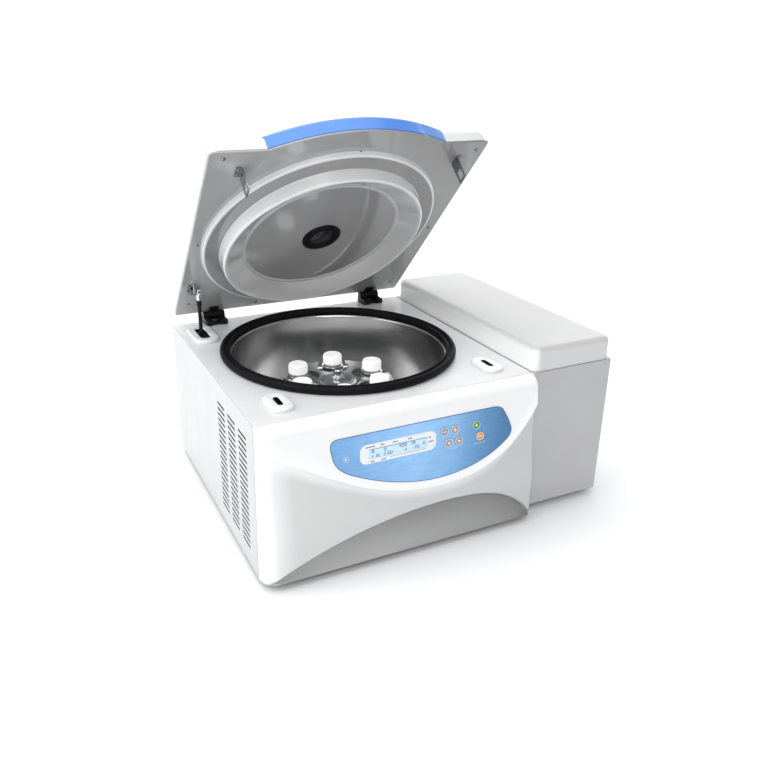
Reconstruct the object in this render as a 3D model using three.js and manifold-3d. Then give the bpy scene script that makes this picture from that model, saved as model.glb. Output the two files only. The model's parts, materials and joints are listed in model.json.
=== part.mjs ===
// A benchtop refrigerated laboratory centrifuge with its lid open, as an assembly of separate parts.
// Millimetres, +Z up. The machine stands on its feet at z = 0, its front looks along -Y.
import * as THREE from 'three';
import { mergeVertices } from 'three/addons/utils/BufferGeometryUtils.js';
import Module from 'manifold-3d';

const wasm = await Module();
wasm.setup();

// ---------------------------------------------------------------- driving dimensions

const GAP = 0.3;                                   // air between touching parts
const FOOT_HEIGHT = 12;
const BODY = { width: 468, depth: 467, bottom: FOOT_HEIGHT, top: FOOT_HEIGHT + 246 };
const SHEET = 2;                                   // sheet metal of the casing
const TOTAL_WIDTH = 630;                           // body plus the compressor housing on its right
const CAP_HEIGHT = 40;                             // cap of the compressor housing above the deck
const FOOTPRINT_CENTRE = { x: 315, y: 228.8 };     // centre of the whole outline, open lid included

const CHAMBER = { x: 230, y: 230, bowlRadius: 180, floor: 84, deckHole: 184.5 };
const GASKET = { inner: 182.5, outer: 200.5, height: 13 };
const VESSEL = { radius: 208, wall: 4, top: 236 };

const ROTOR = { pivotRadius: 76.6, pivotHeight: 192.5, headRadius: 98, phase: 13.7, places: 6 };
const TUBE = { radius: 14.8, capRadius: 17, top: 27, bottom: -84 };
const BUCKET = { radius: 17.2, bore: 15.3, collar: 19.5, top: 7, bottom: -88 };

const HINGE = { y: 458, z: 273, radius: 6.5, centres: [76, 400] };
const LID = { left: 4, right: 466, length: 444, panelAbovePivot: 7, thickness: 30, openAngle: 47 };
const BULGE = { centre: 237, halfChord: 147, sagitta: 34 };
const GRIP_DEPTH = 12;
const RING = { x: CHAMBER.x, t: HINGE.y - CHAMBER.y };   // centre of the plug on the lid

const LATCH = { xs: [57, 418], y: 58, boltZ: 250, boltSide: 9, boltTravel: 8 };
const STRUT = { x: 35, t: 90, lowerY: 387, lowerZ: 45, tubeLength: 190, rodLength: 190, rodRadius: 3.4 };

const FASCIA = { corner: 22, endRound: 4, topRound: 20, crown: 226, face: -18, tilt: 0.05, wall: 3 };
const PANEL = { x: 260, height: 170 };             // origin of the control panel on the fascia
const DISPLAY = { centre: [-46, 8.7], size: [98, 16.4] };
const BUTTONS = {
  button_minus: [32.5, 19],
  button_plus: [51, 19],
  button_left: [40, -1],
  button_right: [59, -1],
  button_start: [89.5, 19],
  button_stop: [97, -1],
};
const BUTTON_RADIUS = 6.8;

// ---------------------------------------------------------------- materials

function finish(color, roughness, metalness = 0) {
  return () => new THREE.MeshStandardMaterial({ color, roughness, metalness });
}
const whiteShell = finish(0xf1f1f1, 0.35);
const deckPaint = finish(0xe4e4e4, 0.4);
const panelGrey = finish(0x9a9a9c, 0.2);
const gripBlue = finish(0x4f93ee, 0.3);
const overlayBlue = finish(0x4f9ad2, 0.35);
const stainless = finish(0xb9b9b8, 0.18, 1);
const alloy = finish(0xaeb0b2, 0.32, 1);
const zinc = finish(0xb0b2b4, 0.4, 1);
const blackRubber = finish(0x151515, 0.7);
const blackPlastic = finish(0x1c1c1e, 0.45);
const paintedBlack = finish(0x202022, 0.5);
const whiteCap = finish(0xf5f5f5, 0.4);
const buttonGrey = finish(0xa3a0a6, 0.4);
const buttonGreen = finish(0x4fa336, 0.4);
const buttonOrange = finish(0xe79a25, 0.4);
const displayBlue = finish(0xbfe0f6, 0.2);

// ---------------------------------------------------------------- solids

function toSolid(geometry) {
  let bare = geometry.clone();
  bare.deleteAttribute('normal');
  bare.deleteAttribute('uv');
  bare = mergeVertices(bare, 1e-4);
  const mesh = new wasm.Mesh({
    numProp: 3,
    vertProperties: new Float32Array(bare.attributes.position.array),
    triVerts: new Uint32Array(bare.index.array),
  });
  return new wasm.Manifold(mesh);
}

function toGeometry(solid) {
  const mesh = solid.getMesh();
  const geometry = new THREE.BufferGeometry();
  geometry.setAttribute('position', new THREE.BufferAttribute(mesh.vertProperties, 3));
  geometry.setIndex(new THREE.BufferAttribute(mesh.triVerts, 1));
  geometry.computeVertexNormals();
  return geometry;
}

// Joins the first list of geometries and cuts the second one out of them.
function carve(added, removed = []) {
  let solid = toSolid(added[0]);
  for (const geometry of added.slice(1)) {
    solid = solid.add(toSolid(geometry));
  }
  for (const geometry of removed) {
    solid = solid.subtract(toSolid(geometry));
  }
  return toGeometry(solid);
}

function common(a, b) {
  return toGeometry(toSolid(a).intersect(toSolid(b)));
}

// Box between two corners.
function block(x0, y0, z0, x1, y1, z1) {
  const box = new THREE.BoxGeometry(x1 - x0, y1 - y0, z1 - z0);
  return box.translate((x0 + x1) / 2, (y0 + y1) / 2, (z0 + z1) / 2);
}

// Cylinder from one height to another along +Z.
function drum(radius, z0, z1, sides = 24, topRadius = radius) {
  const body = new THREE.CylinderGeometry(topRadius, radius, z1 - z0, sides);
  return body.rotateX(Math.PI / 2).translate(0, 0, (z0 + z1) / 2);
}

// Cylinder along X with its axis through (y, z).
function rod(radius, x0, x1, y, z, sides = 16) {
  return drum(radius, x0, x1, sides).rotateY(Math.PI / 2).translate(0, y, z);
}

// Turned part about +Z from [radius, height] points. A profile off the axis closes on itself.
function turned(points, sides) {
  const profile = points.map(([r, z]) => new THREE.Vector2(r, z));
  const onAxis = points[0][0] === 0 && points[points.length - 1][0] === 0;
  if (!onAxis) {
    profile.push(profile[0].clone());
  }
  const geometry = new THREE.LatheGeometry(profile, sides).rotateX(Math.PI / 2);
  return outward(geometry);
}

// Turns the faces round where a profile was drawn the other way.
function outward(geometry) {
  const merged = mergeVertices(geometry, 1e-4);
  const position = merged.attributes.position;
  const index = merged.index;
  const a = new THREE.Vector3();
  const b = new THREE.Vector3();
  const c = new THREE.Vector3();
  let volume = 0;
  for (let i = 0; i < index.count; i += 3) {
    a.fromBufferAttribute(position, index.getX(i));
    b.fromBufferAttribute(position, index.getX(i + 1));
    c.fromBufferAttribute(position, index.getX(i + 2));
    volume += a.dot(b.cross(c));
  }
  if (volume < 0) {
    for (let i = 0; i < index.count; i += 3) {
      const first = index.getX(i);
      index.setX(i, index.getX(i + 2));
      index.setX(i + 2, first);
    }
  }
  return merged;
}

// Rounded rectangle centred on (x, y).
function roundedRect(x, y, width, height, radius) {
  const shape = new THREE.Shape();
  const w = width / 2 - radius;
  const h = height / 2 - radius;
  shape.absarc(x + w, y - h, radius, -Math.PI / 2, 0);
  shape.absarc(x + w, y + h, radius, 0, Math.PI / 2);
  shape.absarc(x - w, y + h, radius, Math.PI / 2, Math.PI);
  shape.absarc(x - w, y - h, radius, Math.PI, 1.5 * Math.PI);
  shape.closePath();
  return shape;
}

// Straight prism of a shape in XY, from z0 to z1.
function prism(shape, z0, z1, curveSegments = 4) {
  const depth = z1 - z0;
  const geometry = new THREE.ExtrudeGeometry(shape, { depth, bevelEnabled: false, curveSegments });
  return geometry.translate(0, 0, z0);
}

// Prism whose top edge is rounded: the bevel that three.js adds below is cut off again.
function softPrism(shape, z0, z1, round, curveSegments = 4) {
  const geometry = new THREE.ExtrudeGeometry(shape, {
    depth: z1 - z0,
    bevelThickness: round,
    bevelSize: round,
    bevelOffset: -round,
    bevelSegments: 2,
    curveSegments,
  });
  geometry.translate(0, 0, z0 - round);
  const reach = 2000;
  return carve([geometry], [block(-reach, -reach, z0 - 2 * round - 1, reach, reach, z0)]);
}

function part(name, geometry, material) {
  const mesh = new THREE.Mesh(geometry, material());
  mesh.name = name;
  return mesh;
}

// ---------------------------------------------------------------- casing

// Height above the casing's lower edge of the soft edge under the raised upper face.
function smileHeight(x) {
  const u = (x - 234) / 234;
  return 103.7 - 38.6 * u + 85.7 * u ** 2 - 16.7 * u ** 3 + 15.3 * u ** 4 + 55 * u ** 5;
}

// Height of the arched recess along the fascia's foot.
function archHeight(x) {
  const d = x - 300;
  return 71 - (d > 0 ? 0.0008 * d ** 2 + 5.5e-8 * d ** 4 : 0.0008 * d ** 2);
}

function smooth(t) {
  const s = Math.min(1, Math.max(0, t));
  return s * s * (3 - 2 * s);
}

// Share of the full depth that a quarter round has reached at a distance from its edge.
function roundIn(distance, radius) {
  const t = Math.min(1, Math.max(0, distance / radius));
  return Math.sqrt(1 - (1 - t) ** 2);
}

// Y of the fascia's outer surface at x and at a height above the casing's lower edge.
function fasciaFront(x, height) {
  const upper = FASCIA.face - FASCIA.tilt * (FASCIA.crown - Math.min(height, FASCIA.crown));
  const lower = -15 - 10.5 * smooth((150 - height) / 90);
  const raised = smooth((height - smileHeight(x) + 5) / 10);
  const arch = Math.max(1, archHeight(x));
  const depth = Math.max(0, arch - height);
  const recess = 11 * (1 - Math.exp(-depth / 7)) * (height / arch);
  const face = lower + (upper - lower) * raised + recess;
  const left = roundIn(x, FASCIA.corner);
  const right = roundIn(BODY.width - x, FASCIA.endRound);
  const top = roundIn(BODY.top - BODY.bottom - height, FASCIA.topRound);
  return 2 - (2 - face) * left * right * top;
}

// Spreads grid lines 0..count over a length so that the first and last few crowd into its
// rounded ends. An end without a radius is not crowded.
function spread(i, count, ends, length, low, high) {
  if (low && i <= ends) {
    return low * (1 - Math.cos((i / ends) * Math.PI / 2));
  }
  if (high && i >= count - ends) {
    return length - high * (1 - Math.cos(((count - i) / ends) * Math.PI / 2));
  }
  const from = low ? ends : 0;
  const to = high ? count - ends : count;
  return low + (length - low - high) * (i - from) / (to - from);
}

function fasciaShell() {
  const columns = 20;
  const rows = 18;
  const box = new THREE.BoxGeometry(1, 1, 1, columns, 1, rows);
  const position = box.attributes.position;
  const height = BODY.top - BODY.bottom;
  for (let i = 0; i < position.count; i++) {
    const column = Math.round((position.getX(i) + 0.5) * columns);
    const row = Math.round((position.getZ(i) + 0.5) * rows);
    const x = spread(column, columns, 3, BODY.width, FASCIA.corner, FASCIA.endRound);
    const z = spread(row, rows, 3, height, 0, FASCIA.topRound);
    const front = fasciaFront(x, z);
    if (position.getY(i) < 0) {
      position.setXYZ(i, x, front, BODY.bottom + z);
    } else {
      const inner = FASCIA.wall + x * (1 - 2 * FASCIA.wall / BODY.width);
      position.setXYZ(i, inner, Math.min(front + FASCIA.wall, 3), BODY.bottom + z);
    }
  }
  return box;
}

// Group whose XY plane lies on the fascia's upper face: X right, Y up the face, Z outward.
function panelFrame() {
  const frame = new THREE.Group();
  const y = FASCIA.face - FASCIA.tilt * (FASCIA.crown - PANEL.height);
  frame.position.set(PANEL.x, y, BODY.bottom + PANEL.height);
  frame.rotation.x = Math.PI / 2 - Math.atan(FASCIA.tilt);
  frame.updateMatrix();
  return frame;
}

// Outline of the control panel: straight on top, full below.
function overlayShape(inset) {
  const shape = new THREE.Shape();
  shape.moveTo(-142, 43 - inset);
  shape.lineTo(118, 43 - inset);
  shape.quadraticCurveTo(132, 43 - inset, 138.5 - inset, 37);
  shape.quadraticCurveTo(150 - inset, 20, 156.5 - inset, 2);
  shape.quadraticCurveTo(159 - inset, -9, 147 - inset, -18.2 + inset);
  shape.bezierCurveTo(112, -46 + inset, 66, -56 + inset, 24, -56 + inset);
  shape.bezierCurveTo(-30, -56 + inset, -84, -38 + inset, -124 + inset, -17.5 + inset);
  shape.quadraticCurveTo(-146 + inset, -6 + inset, -151 + inset, 10);
  shape.lineTo(-155 + inset, 28);
  shape.quadraticCurveTo(-157 + inset, 43 - inset, -142, 43 - inset);
  return shape;
}

function panelHoles(z0, z1, grow) {
  const [u, v] = DISPLAY.centre;
  const [w, h] = DISPLAY.size.map((side) => side + 2 * grow);
  const holes = [block(u - w / 2, v - h / 2, z0, u + w / 2, v + h / 2, z1)];
  for (const [bu, bv] of Object.values(BUTTONS)) {
    holes.push(drum(BUTTON_RADIUS + grow, z0, z1, 12).translate(bu, bv, 0));
  }
  return holes;
}

function fascia() {
  const frame = panelFrame();
  const pocket = prism(overlayShape(-GAP), -1.3, 6, 4);
  const cuts = [pocket, ...panelHoles(-20, 6, 0.5)].map((cut) => cut.applyMatrix4(frame.matrix));
  return carve([fasciaShell()], cuts);
}

function controlOverlay() {
  return carve([prism(overlayShape(0), -1, 0.4, 4)], panelHoles(-3, 3, 0.5));
}

function displayModule() {
  const [u, v] = DISPLAY.centre;
  const [w, h] = DISPLAY.size;
  return carve([
    block(u - w / 2, v - h / 2, -7, u + w / 2, v + h / 2, -0.8),
    block(-100, -14, -8.2, 112, 32, -6.6),
  ]);
}

function button() {
  const flange = BUTTON_RADIUS + 1.4;
  return turned([[0, -4.8], [flange, -4.8], [flange, -3.5], [BUTTON_RADIUS, -3.5], [BUTTON_RADIUS, 1.2],
    [BUTTON_RADIUS - 0.8, 1.8], [0, 1.8]], 12);
}

// Rows of slots as cutting blocks in the XY plane, from below a sheet to above it.
function slotCuts(columns, rows, slot, first, pitch) {
  const cuts = [];
  for (let i = 0; i < columns; i++) {
    for (let j = 0; j < rows; j++) {
      const x = first[0] + i * pitch[0];
      const y = first[1] + j * pitch[1];
      cuts.push(block(x - slot[0] / 2, y - slot[1] / 2, -9, x + slot[0] / 2, y + slot[1] / 2, 9));
    }
  }
  return cuts;
}

function ventedSheet(width, height, cuts) {
  return carve([block(0, 0, 0, width, height, SHEET)], cuts);
}

// Stands a sheet drawn in XY so that its X runs along +Y and its Y along +Z, facing -X.
function standAcross(geometry) {
  return geometry.rotateX(Math.PI / 2).rotateZ(Math.PI / 2);
}

function leftSidePanel() {
  const front = FASCIA.wall + GAP;
  const back = BODY.depth - SHEET - GAP;
  const height = BODY.top - BODY.bottom;
  const slots = slotCuts(3, 20, [38, 4], [56 - front, 30], [52.5, 9.53]);
  const sheet = ventedSheet(back - front, height, slots);
  return standAcross(sheet).translate(0, front, BODY.bottom);
}

function sideHousing() {
  const left = BODY.width + GAP;
  const right = TOTAL_WIDTH - SHEET;
  const inner = block(left - 5, SHEET, BODY.bottom - 1, right, BODY.depth - SHEET, BODY.top - SHEET);
  const opening = block(left + 12, 20, BODY.top - 9, TOTAL_WIDTH - 14, BODY.depth - 20, BODY.top + 9);
  const cuts = [inner, opening];
  for (let j = 0; j < 11; j++) {
    const z = 62 + j * 11;
    cuts.push(block(496, BODY.depth - 9, z, 604, BODY.depth + 9, z + 5));
  }
  return carve([block(left, 0, BODY.bottom, TOTAL_WIDTH, BODY.depth, BODY.top)], cuts);
}

function sideCap() {
  const [x0, x1] = [471, TOTAL_WIDTH - 3];
  const [y0, y1] = [2.5, 459];
  const bottom = BODY.top + GAP;
  const top = BODY.top + CAP_HEIGHT;
  const plan = roundedRect((x0 + x1) / 2, (y0 + y1) / 2, x1 - x0, y1 - y0, 11);
  const hollow = block(x0 + 4, y0 + 4, bottom - 1, x1 - 4, y1 - 4, top - 10);
  return carve([softPrism(plan, bottom, top, 9, 3)], [hollow]);
}

function rearPanel() {
  const width = BODY.width - 0.1;
  const height = BODY.top - BODY.bottom;
  const sheet = ventedSheet(width, height, slotCuts(2, 9, [90, 5], [150, 130], [160, 11]));
  const upright = sheet.rotateX(Math.PI / 2).translate(0, BODY.depth, BODY.bottom);
  return carve([upright], [block(60, BODY.depth - 9, 40, 140, BODY.depth + 9, 72)]);
}

function deck() {
  const plate = block(SHEET + GAP, FASCIA.wall + GAP + 0.2, BODY.top - SHEET,
    BODY.width - 0.1, BODY.depth - SHEET - GAP, BODY.top);
  const z0 = BODY.top - 9;
  const z1 = BODY.top + 9;
  const cuts = [drum(CHAMBER.deckHole, z0, z1, 40).translate(CHAMBER.x, CHAMBER.y, 0)];
  cuts.push(block(27, 358, z0, 45, 420, z1));
  for (const x of LATCH.xs) {
    cuts.push(block(x - 11.4, LATCH.y - 20.4, z0, x + 11.4, LATCH.y + 20.4, z1));
  }
  return carve([plate], cuts);
}

function basePan() {
  const [x0, x1] = [SHEET + GAP, TOTAL_WIDTH - SHEET - GAP];
  const [y0, y1] = [FASCIA.wall + GAP, BODY.depth - SHEET - GAP];
  const z = BODY.bottom;
  const lip = z + 16;
  const x = STRUT.x;
  const earTop = STRUT.lowerZ + 9;
  const ears = [[x - 14, x - 10.5], [x + 10.5, x + 14]].map(([from, to]) => (
    block(from, STRUT.lowerY - 9, z + 1, to, STRUT.lowerY + 9, earTop)));
  return carve([
    block(x0, y0, z, x1, y1, z + SHEET),
    block(24, -8, z, BODY.width - 24, y0 + 1, z + SHEET),
    block(x0, y0, z, x0 + 1.5, y1, lip),
    block(x1 - 1.5, y0, z, x1, y1, lip),
    block(x0, y1 - 1.5, z, x1, y1, lip),
    ...ears,
    rod(3, x - 12, x + 12, STRUT.lowerY, STRUT.lowerZ, 12),
  ]);
}

function foot() {
  return turned([[0, 0], [14, 0], [15, 1.5], [17, FOOT_HEIGHT - GAP], [0, FOOT_HEIGHT - GAP]], 20);
}

// ---------------------------------------------------------------- chamber and drive

function gasket() {
  const base = BODY.top + GAP;
  const top = BODY.top + GASKET.height;
  const { inner, outer } = GASKET;
  return turned([[191.8, base], [outer - 3.5, base], [outer, base + 5], [outer - 0.8, top - 3],
    [outer - 5, top], [inner + 6, top], [inner + 1, top - 2.5], [inner, top - 7], [inner, base + 2.2],
    [191.8, base + 2.2]], 36);
}

function bowl() {
  const lip = BODY.top + GAP;
  const r = CHAMBER.bowlRadius;
  const floor = CHAMBER.floor;
  return turned([[191, lip], [191, lip + 1.6], [r, lip + 1.6], [r - 2, floor + 36], [r - 12, floor + 12],
    [r - 34, floor], [40, floor], [32, floor + 4], [29, floor + 16], [23, floor + 16],
    [23, floor + 14.4], [27.5, floor + 14.4], [30.5, floor + 2.4], [40, floor - 1.6],
    [r - 33, floor - 1.6], [r - 10.8, floor + 11], [r - 0.4, floor + 36], [r + 1.6, lip]], 30);
}

function guardVessel() {
  const r = VESSEL.radius;
  const low = BODY.bottom + SHEET + GAP;
  const floor = low + 6;
  return turned([[0, low], [r, low], [r, VESSEL.top], [r - VESSEL.wall, VESSEL.top],
    [r - VESSEL.wall, floor], [0, floor]], 32);
}

function motor() {
  const low = BODY.bottom + SHEET + GAP + 6 + GAP;
  return turned([[0, low], [72, low], [72, low + 6], [60, low + 6], [60, low + 46], [54, low + 51],
    [30, low + 51], [18, low + 57], [18, 106], [0, 106]], 18);
}

function spindle() {
  return turned([[0, 106.3], [13, 106.3], [13, 112], [9, 114], [9, 195.8], [5, 195.8],
    [5, 207], [0, 207]], 16);
}

// ---------------------------------------------------------------- rotor

function eachPlace(build) {
  return Array.from({ length: ROTOR.places }, (_, i) => build(i, i * 2 * Math.PI / ROTOR.places));
}

// Star-shaped head with open keyhole slots; heights are measured from the bucket pivots.
function rotorHead() {
  const slots = eachPlace((i, angle) => {
    const hole = drum(28, -30, 30, 20).translate(66, 0, 0);
    const mouth = block(66, -24, -30, 140, 24, 30);
    const pin = rod(3.9, -30, 30, 0, 0, 8).rotateZ(Math.PI / 2).translate(ROTOR.pivotRadius, 0, 0);
    return [hole, mouth, pin].map((cut) => cut.rotateZ(angle));
  });
  const plate = drum(ROTOR.headRadius, -7, 7, 36);
  const hub = turned([[0, -72], [20, -72], [22, -68], [24, -20], [32, -6], [32, 8], [24, 11.4],
    [0, 11.4]], 16);
  const bore = drum(9.3, -80, 3.7, 16);
  const thread = drum(5.4, 3, 20, 16);
  return carve([plate, hub], [...slots.flat(), bore, thread]);
}

function rotorNut() {
  const low = ROTOR.pivotHeight + 11.4 + GAP;
  return turned([[5.3, low], [12, low], [12, low + 6], [8, low + 7], [8, low + 15], [6, low + 17],
    [0, low + 17], [0, low + 8], [5.3, low + 8]], 18);
}

function bucket() {
  const { radius, bore, collar, top, bottom } = BUCKET;
  const cup = turned([[0, bottom], [11, bottom], [radius, bottom + 9], [radius, -8], [collar, -6],
    [collar, top - 1], [collar - 1, top], [bore, top], [bore, -68], [5, bottom + 2.5],
    [0, bottom + 2.5]], 12);
  const pins = [[-28.4, -16.4], [16.4, 28.4]].map(([from, to]) => (
    rod(3.5, from, to, 0, 0, 8).rotateZ(Math.PI / 2)));
  return carve([cup, ...pins]);
}

function tube() {
  const { radius, capRadius, top, bottom } = TUBE;
  const capBase = BUCKET.top + 2;
  return turned([[0, bottom], [3.5, bottom], [radius - 0.5, -69], [radius, capBase], [capRadius, capBase],
    [capRadius, top - 1.5], [capRadius - 1.5, top], [0, top]], 12);
}

// ---------------------------------------------------------------- lid, drawn closed about its hinge axis

const PANEL_Z = LID.panelAbovePivot;
const LID_TOP = PANEL_Z + LID.thickness;

// Plan of the lid in (x, y), hinge axis at y = 0 and the front at negative y.
function lidOutline({ inset, front = LID.length - inset, depth = inset, corner = 6 }) {
  const { centre, halfChord, sagitta } = BULGE;
  const fullRadius = (halfChord ** 2 + sagitta ** 2) / (2 * sagitta);
  const radius = fullRadius - depth;
  const arcCentre = LID.length + sagitta - fullRadius;
  const half = Math.sqrt(radius ** 2 - (front - arcCentre) ** 2);
  const angle = Math.asin(half / radius);
  const left = LID.left + inset;
  const right = LID.right - inset;
  const back = 2 - inset;
  const shape = new THREE.Shape();
  shape.absarc(right - corner, back - corner, corner, 0, Math.PI / 2);
  shape.absarc(left + corner, back - corner, corner, Math.PI / 2, Math.PI);
  shape.absarc(left + corner, -front + corner, corner, Math.PI, 1.5 * Math.PI);
  shape.absarc(centre, -arcCentre, radius, 1.5 * Math.PI - angle, 1.5 * Math.PI + angle);
  shape.absarc(right - corner, -front + corner, corner, 1.5 * Math.PI, 2 * Math.PI);
  shape.closePath();
  return shape;
}

// Band of constant depth that follows the bulge, from below the lid to above it.
function gripBand(margin) {
  const { centre, halfChord, sagitta } = BULGE;
  const radius = (halfChord ** 2 + sagitta ** 2) / (2 * sagitta);
  const arcCentre = LID.length + sagitta - radius;
  const half = halfChord + margin;
  const y = -(arcCentre + Math.sqrt(radius ** 2 - halfChord ** 2)) + GRIP_DEPTH + margin;
  const peak = -(LID.length + sagitta) + GRIP_DEPTH + margin;
  const band = new THREE.Shape();
  band.moveTo(centre - half, y);
  band.quadraticCurveTo(centre, 2 * peak - y, centre + half, y);
  band.lineTo(centre + half, -600);
  band.lineTo(centre - half, -600);
  return prism(band, PANEL_Z - 5, LID_TOP + 5, 12);
}

function lidBody() {
  return softPrism(lidOutline({ inset: 0, corner: 10 }), PANEL_Z + 2.5 + GAP, LID_TOP, 8, 5);
}

function lidShell() {
  const cavity = prism(lidOutline({ inset: 3, front: LID.length - 20, depth: GRIP_DEPTH + 4 }),
    PANEL_Z - 5, LID_TOP - 3, 5);
  const port = drum(30.8, 0, LID_TOP + 9, 20).translate(RING.x, -RING.t, 0);
  return carve([lidBody()], [gripBand(GAP), cavity, port]);
}

function lidGrip() {
  return common(lidBody(), gripBand(0));
}

// Moulded inner panel with the sealing plateau and the plug that enters the chamber.
function lidPanel() {
  const z = (outOfPlane) => PANEL_Z - outOfPlane;
  const plate = prism(lidOutline({ inset: 1 }), PANEL_Z, PANEL_Z + 2.5, 5);
  const opening = drum(202.4, PANEL_Z - 9, PANEL_Z + 9, 32);
  const ring = turned([[33, z(9.3)], [135, z(9.3)], [137, z(10.5)], [170, z(30)], [173, z(31)], [175, z(29)],
    [176.5, z(8.5)], [203, z(8.5)], [205, z(6.5)], [206, PANEL_Z], [206, PANEL_Z + 2.5], [202, PANEL_Z + 2.5],
    [200, z(6)], [174, z(6)], [172, z(26.5)], [137, z(7)], [33, z(6.8)]], 32);
  const centre = [RING.x, -RING.t, 0];
  return carve([carve([plate], [opening.translate(...centre)]), ring.translate(...centre)]);
}

function sightPort() {
  const low = PANEL_Z - 9.3 - GAP;
  return turned([[0, low - 0.5], [20, low - 0.5], [22, low - 3.2], [30, low - 3.2], [36, low - 1], [36, low],
    [32.5, low], [30.2, low + 3], [30.2, LID_TOP + 1.5], [22, LID_TOP + 1.5], [22, LID_TOP - 2],
    [0, LID_TOP - 2]], 20).translate(RING.x, -RING.t, 0);
}

// Plate loop that the bolt passes through; its base tab lies on the panel.
function striker(x, side) {
  const [t0, t1] = [391, 412];
  const z = PANEL_Z - GAP;
  return carve([
    block(x - 1, -t1, z - 41, x + 1, -t0, z),
    block(Math.min(x, x + side * 14), -t1, z - 1.8, Math.max(x, x + side * 14), -t0, z),
  ], [block(x - 5, -t1 + 4, z - 37, x + 5, -t0 - 4, z - 22)]);
}

// Fixed half of a hinge: two long ears with round noses, the foot plate between them and the
// pin, about the hinge axis.
function hingeBase() {
  const deckTop = BODY.top + GAP - HINGE.z;
  const r = HINGE.radius;
  const ears = [[-20, -8.5], [8.5, 20]].flatMap(([from, to]) => [
    rod(r, from, to, 0, 0),
    rod(5, from, to, -22, deckTop + 5),
    block(from, -22, deckTop, to, 7.5, deckTop + 10),
    block(from, -r, deckTop + 1, to, r, -1),
  ]);
  return carve([block(-10, -20, deckTop, 10, 7.5, deckTop + 5), ...ears, rod(2.5, -10, 10, 0, 0, 12)]);
}

// Moving half: knuckle on the pin and the short leaf screwed under the lid's rear edge.
function hingeLeaf() {
  const top = PANEL_Z - GAP;
  return carve([
    rod(HINGE.radius, -8.1, 8.1, 0, 0),
    block(-8.1, -9, 1, 8.1, 0, top),
    block(-8.1, -17, top - 3.5, 8.1, -5, top),
  ], [rod(2.8, -15, 15, 0, 0, 12)]);
}

// Angle on the lid with the stud that faces the strut's eye.
function strutStud() {
  const top = PANEL_Z - GAP;
  const x = STRUT.x;
  const y = -STRUT.t;
  return carve([
    block(x - 19, y - 13, top - 2.5, x - 5, y + 13, top),
    block(x - 11, y - 8, -5, x - 8.5, y + 8, top),
    rod(3, x - 10, x - 4.3, y, 0, 12),
  ]);
}

// ---------------------------------------------------------------- gas strut, upright on its lower pivot

function strutTube() {
  const bore = turned([[0, 20], [4.6, 20], [4.6, 220], [0, 220]], 16);
  const eye = rod(8, -8, 8, 0, 0, 16);
  const body = drum(9, 4, STRUT.tubeLength, 20);
  return carve([body, eye], [bore, rod(3.3, -20, 20, 0, 0, 12)]);
}

function strutRod(reach) {
  const shaft = drum(STRUT.rodRadius, reach - STRUT.rodLength, reach - 2, 14);
  return carve([shaft, drum(4.8, reach - 16, reach - 4, 14), rod(5.5, -4, 4, 0, reach, 16)]);
}

// ---------------------------------------------------------------- deck fittings

// Raised white escutcheon and the guide below it that holds the bolt.
function latchHousing(side) {
  const top = BODY.top + 6.5;
  const base = BODY.top + GAP;
  const rim = softPrism(roundedRect(0, 0, 36, 62, 16), base, top, 3, 4);
  const neck = block(-11, -20, 226, 11, 20, base + 1);
  const slot = block(-4, -15, 220, 4, 15, top + 5);
  const half = LATCH.boltSide / 2 + 0.4;
  const [from, to] = [Math.min(0, side * 20), Math.max(0, side * 20)];
  const guide = block(from, -half, LATCH.boltZ - half, to, half, LATCH.boltZ + half);
  return carve([rim, neck], [slot, guide]);
}

function latchBolt(side) {
  const half = LATCH.boltSide / 2;
  const [from, to] = side > 0 ? [4.6, 19] : [-19, -4.6];
  return block(from, -half, LATCH.boltZ - half, to, half, LATCH.boltZ + half);
}

function strutEscutcheon() {
  const base = BODY.top + GAP;
  const rim = softPrism(roundedRect(36, 389, 44, 92, 20), base, base + 6, 3, 4);
  return carve([rim], [prism(roundedRect(36, 389, 16, 56, 7), base - 5, base + 15, 3)]);
}

// ---------------------------------------------------------------- refrigeration and mains parts

function condensingUnit() {
  const floor = BODY.bottom + SHEET + GAP;
  const can = turned([[0, floor], [46, floor], [52, floor + 20], [52, floor + 120], [40, floor + 146],
    [0, floor + 152]], 24).translate(549, 140, 0);
  const motorBoss = drum(20, 386, 418, 20).rotateX(-Math.PI / 2).translate(550, 0, 118);
  return carve([
    block(480, 60, floor, 618, 420, floor + 4),
    can,
    block(484, 370, floor + 1, 616, 392, 214),
    motorBoss,
  ]);
}

// Fan drawn about the Y axis.
function fan() {
  const hub = drum(22, -10, 10, 16);
  const blades = Array.from({ length: 5 }, (_, i) => (
    block(14, -12, -1.2, 60, 12, 1.2).rotateX(0.55).rotateZ(i * 2 * Math.PI / 5)));
  return carve([hub, ...blades]).rotateX(Math.PI / 2);
}

// Appliance inlet and the frame of the mains switch, as one module in the rear panel.
function powerInlet() {
  const face = BODY.depth + GAP;
  const body = block(61, face - 30, 41, 139, face + 0.5, 71);
  const flange = block(56, face, 36, 144, face + 3, 76);
  const pins = [76, 83, 90].map((x) => block(x - 1, face - 22, 54, x + 1, face - 5, 58));
  const hole = carve([block(69, face - 18, 47, 97, face + 9, 65)], pins);
  return carve([body, flange], [hole, block(106, face - 22, 45, 132, face + 9, 67)]);
}

// Rocker with two faces at a shallow angle, about the X axis; one face lies flush with the frame.
function powerSwitch() {
  const shape = new THREE.Shape();
  shape.moveTo(-9, -5);
  shape.lineTo(9, -5);
  shape.lineTo(9, 3.2);
  shape.lineTo(0, 3);
  shape.lineTo(-9, 5.6);
  return prism(shape, -12.3, 12.3).rotateY(-Math.PI / 2);
}

// ---------------------------------------------------------------- assembly

const machine = new THREE.Group();
machine.position.set(-FOOTPRINT_CENTRE.x, -FOOTPRINT_CENTRE.y, 0);

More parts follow.
